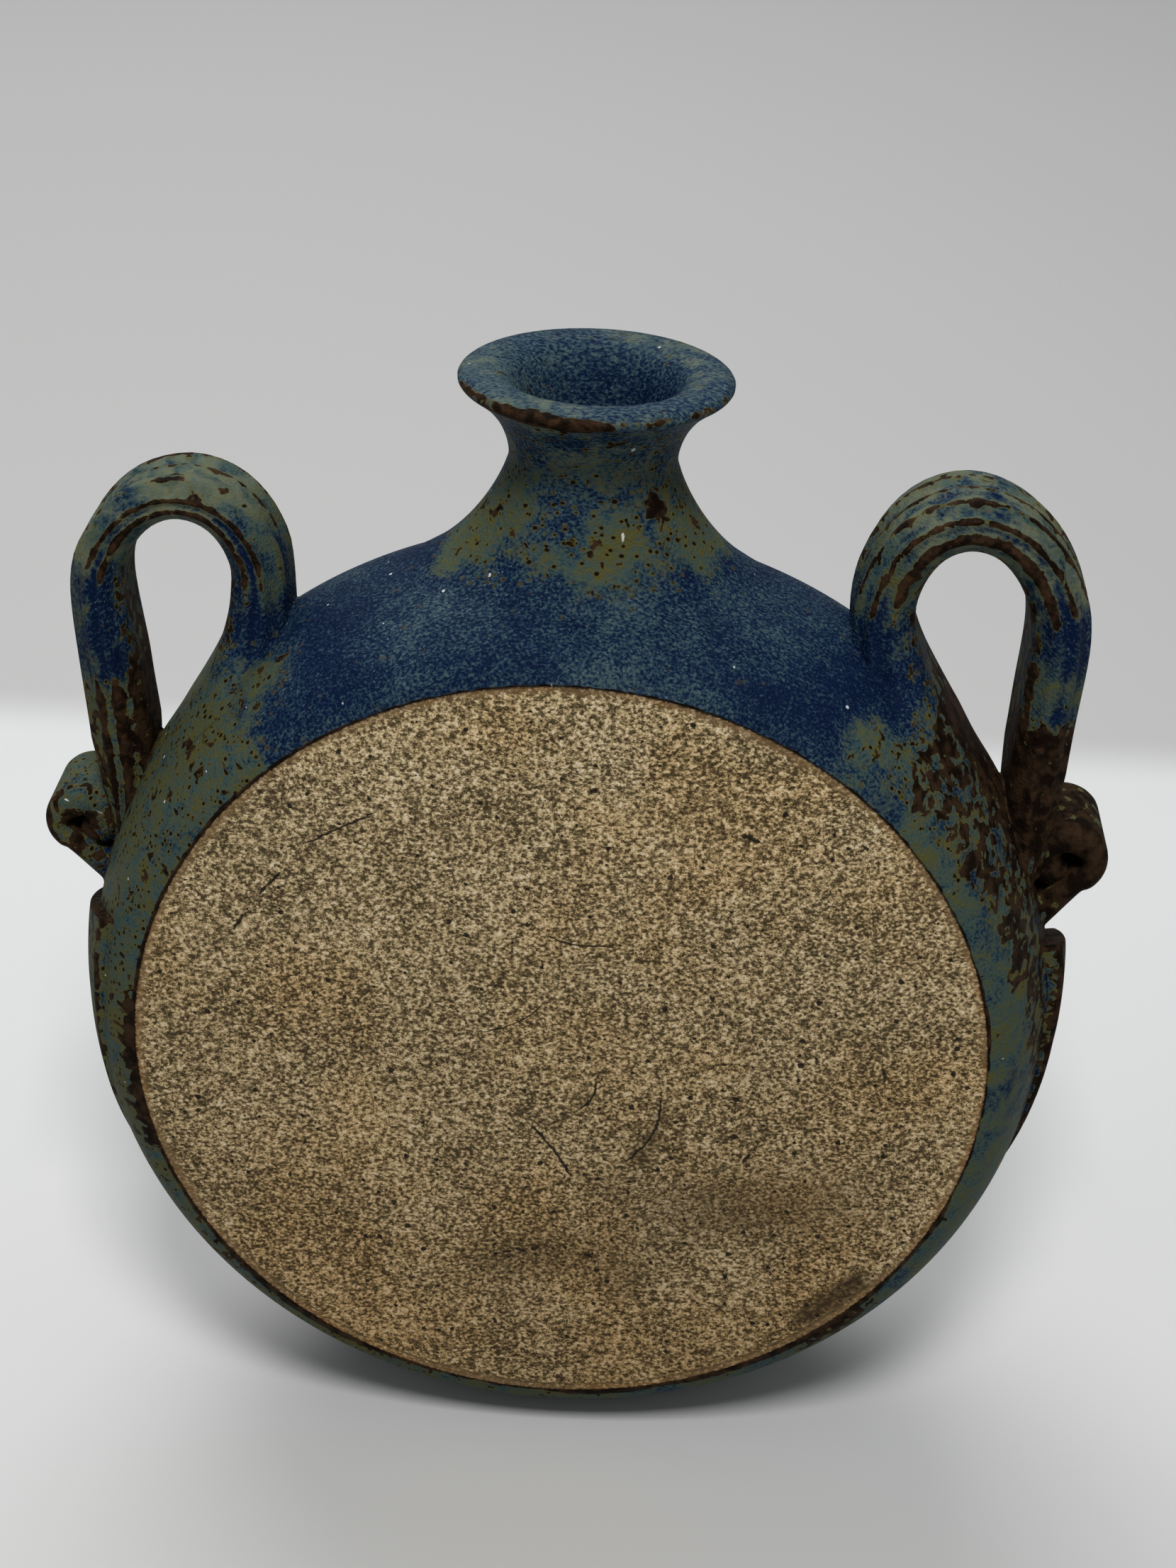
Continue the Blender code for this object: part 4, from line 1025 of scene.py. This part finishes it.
# The scrolls are short straps that rise from the girth below each handle and roll back on themselves, like
# the curl of a wood shaving, with a dark crevice left inside the roll.
SCROLL_WIDTH = pair(0.0145, 0.016)
SCROLL_THICKNESS = pair(0.003, 0.0032)
ROLLED_THICKNESS = pair(0.0053, 0.005)
ROLL_RADIUS = pair(0.0056, 0.0059)
ROLL_STANDOFF = pair(0.0051, 0.0052)
ROLL_ANGLE = angles(19.6, 20.8)
ROLL_FROM, ROLL_TO = -72, 232
SCROLL_FOOT_ANGLE = angles(13.8, 14.2)
SCROLL_FOOT_DEPTH = 0.001
SCROLL_CREASE = 0.0006
SCROLL_STATIONS = 72
SCROLL_ROOM = Vector((0.003, 0.003, 0.003))
SCROLL_WIDTH_SHARES = ((0, 0.92), (0.3, 1), (0.75, 0.97), (1, 0.86))
THICKENS_FROM, THICKENS_TO = -40, 70
CORE_REACH = (0.0014, 0.0046)
SCROLL_IRON = pair(0.45, 0.76)
SCROLL_THIN = pair(-0.3, 0.2)

for side in SIDES:
    centre = polar(ROLL_ANGLE[side], GIRTH_RADIUS + ROLL_STANDOFF[side])
    roll_turns = np.linspace(ROLL_FROM, ROLL_TO, 13)
    thicker = (ROLLED_THICKNESS[side] - SCROLL_THICKNESS[side]) * rising(roll_turns, THICKENS_FROM, THICKENS_TO)
    swelling = SCROLL_THICKNESS[side] + thicker
    points = [polar(SCROLL_FOOT_ANGLE[side], GIRTH_RADIUS - SCROLL_FOOT_DEPTH)]
    points += [centre + polar(math.radians(a), ROLL_RADIUS[side] - t / 2) for a, t in zip(roll_turns, swelling)]
    roll_path = smooth_curve(points, SCROLL_STATIONS)
    roll_widths = SCROLL_WIDTH[side] * shares(SCROLL_WIDTH_SHARES, SCROLL_STATIONS)
    gone = np.append(0, np.cumsum(np.linalg.norm(np.diff(roll_path, axis=0), axis=1)))
    at_points = [gone[np.argmin(np.linalg.norm(roll_path - point, axis=1))] for point in points]
    roll_thicknesses = np.interp(gone, at_points, np.append(SCROLL_THICKNESS[side] * 1.4, swelling))

    def scroll_field(points):
        strap, _, _ = off_strap(points, side, roll_path, roll_widths, roll_thicknesses)
        return pressed_on(points, strap, SCROLL_CREASE)

    low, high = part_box(side + "_scroll")
    mesh = modelled(side + "_scroll_roll", scroll_field, low - SCROLL_ROOM, high + SCROLL_ROOM)
    dress(mesh)
    points = vertices(mesh)
    off_core = np.hypot(points[:, 0] - SIDES[side] * centre[0], points[:, 2] - GIRTH_CENTRE[2] - centre[1])
    core = 1 - rising(off_core, *CORE_REACH)
    restain(mesh, "iron", SCROLL_IRON[side], 0.65 * core)
    restain(mesh, "thin", 1, SCROLL_THIN[side])
    scroll = new_piece(side + "_scroll_roll", mesh, glaze)
    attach(scroll, "root")
    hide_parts(side + "_scroll")

# The side strips are tapering bands of clay pressed along the girth over the bowls' seam, cut square at the
# top, where they stand proudest, and smeared thin at the bottom.
STRIP_WIDTH = pair(0.0285, 0.0172)
STRIP_MIDDLE = pair(-0.008, -0.0035)
STRIP_CUT_SLANT = 0.45
STRIP_TOP_ANGLE = angles(11.0, 9.6)
STRIP_END_ANGLE = angles(-26, -34)
STRIP_PROUD_SHARES = ((0, 1), (0.25, 0.6), (0.5, 0.4), (0.8, 0.22), (1, 0.05))
STRIP_PROUD = pair(0.0015, 0.0029)
STRIP_WIDTH_SHARES = ((0, 0.97), (0.12, 1), (0.5, 0.9), (0.85, 0.6), (1, 0.3))
STRIP_ROUNDING = 0.0006
STRIP_CREASE = 0.0004
STRIP_IRON = pair((1.0, 0.16), (0.55, 0.22))
STRIP_END_WEAR = pair(0.55, 1.0)
STRIP_ROOM = Vector((0.003, 0.016, 0.008))

for side in SIDES:
    def strip_places(points):
        """The angle up the girth, the way sideways from the strip's middle, and how far past its top cut."""
        turned = np.arctan2(points[:, 2] - GIRTH_CENTRE[2], points[:, 0] * SIDES[side])
        sideways = points[:, 1] - GIRTH_CENTRE[1] - STRIP_MIDDLE[side]
        past_top = (turned - STRIP_TOP_ANGLE[side]) * GIRTH_RADIUS + sideways * STRIP_CUT_SLANT
        return turned, sideways, past_top

    def strip_field(points):
        turned, sideways, past_top = strip_places(points)
        down = (STRIP_TOP_ANGLE[side] - turned) / (STRIP_TOP_ANGLE[side] - STRIP_END_ANGLE[side])
        proud = STRIP_PROUD[side] * np.interp(down, *np.array(STRIP_PROUD_SHARES).T)
        half_width = STRIP_WIDTH[side] / 2 * np.interp(down, *np.array(STRIP_WIDTH_SHARES).T)
        past_end = np.maximum(past_top, (STRIP_END_ANGLE[side] - turned) * GIRTH_RADIUS)
        past_side = np.abs(sideways) - half_width
        over = np.stack((over_body(points) - proud, past_side, past_end), axis=1) + STRIP_ROUNDING
        slab = np.linalg.norm(np.maximum(over, 0), axis=1) + np.minimum(over.max(axis=1), 0) - STRIP_ROUNDING
        return pressed_on(points, slab, STRIP_CREASE)

    low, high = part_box(side + "_side_strip")
    mesh = modelled(side + "_pressed_strip", strip_field, low - STRIP_ROOM, high + STRIP_ROOM)
    dress(mesh)
    at_end = rising(strip_places(vertices(mesh))[2], -0.0012, -0.0002)
    restain(mesh, "iron", *STRIP_IRON[side])
    restain(mesh, "broken", 1, STRIP_END_WEAR[side] * at_end)
    strip = new_piece(side + "_pressed_strip", mesh, glaze)
    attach(strip, "root")
    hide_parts(side + "_side_strip")
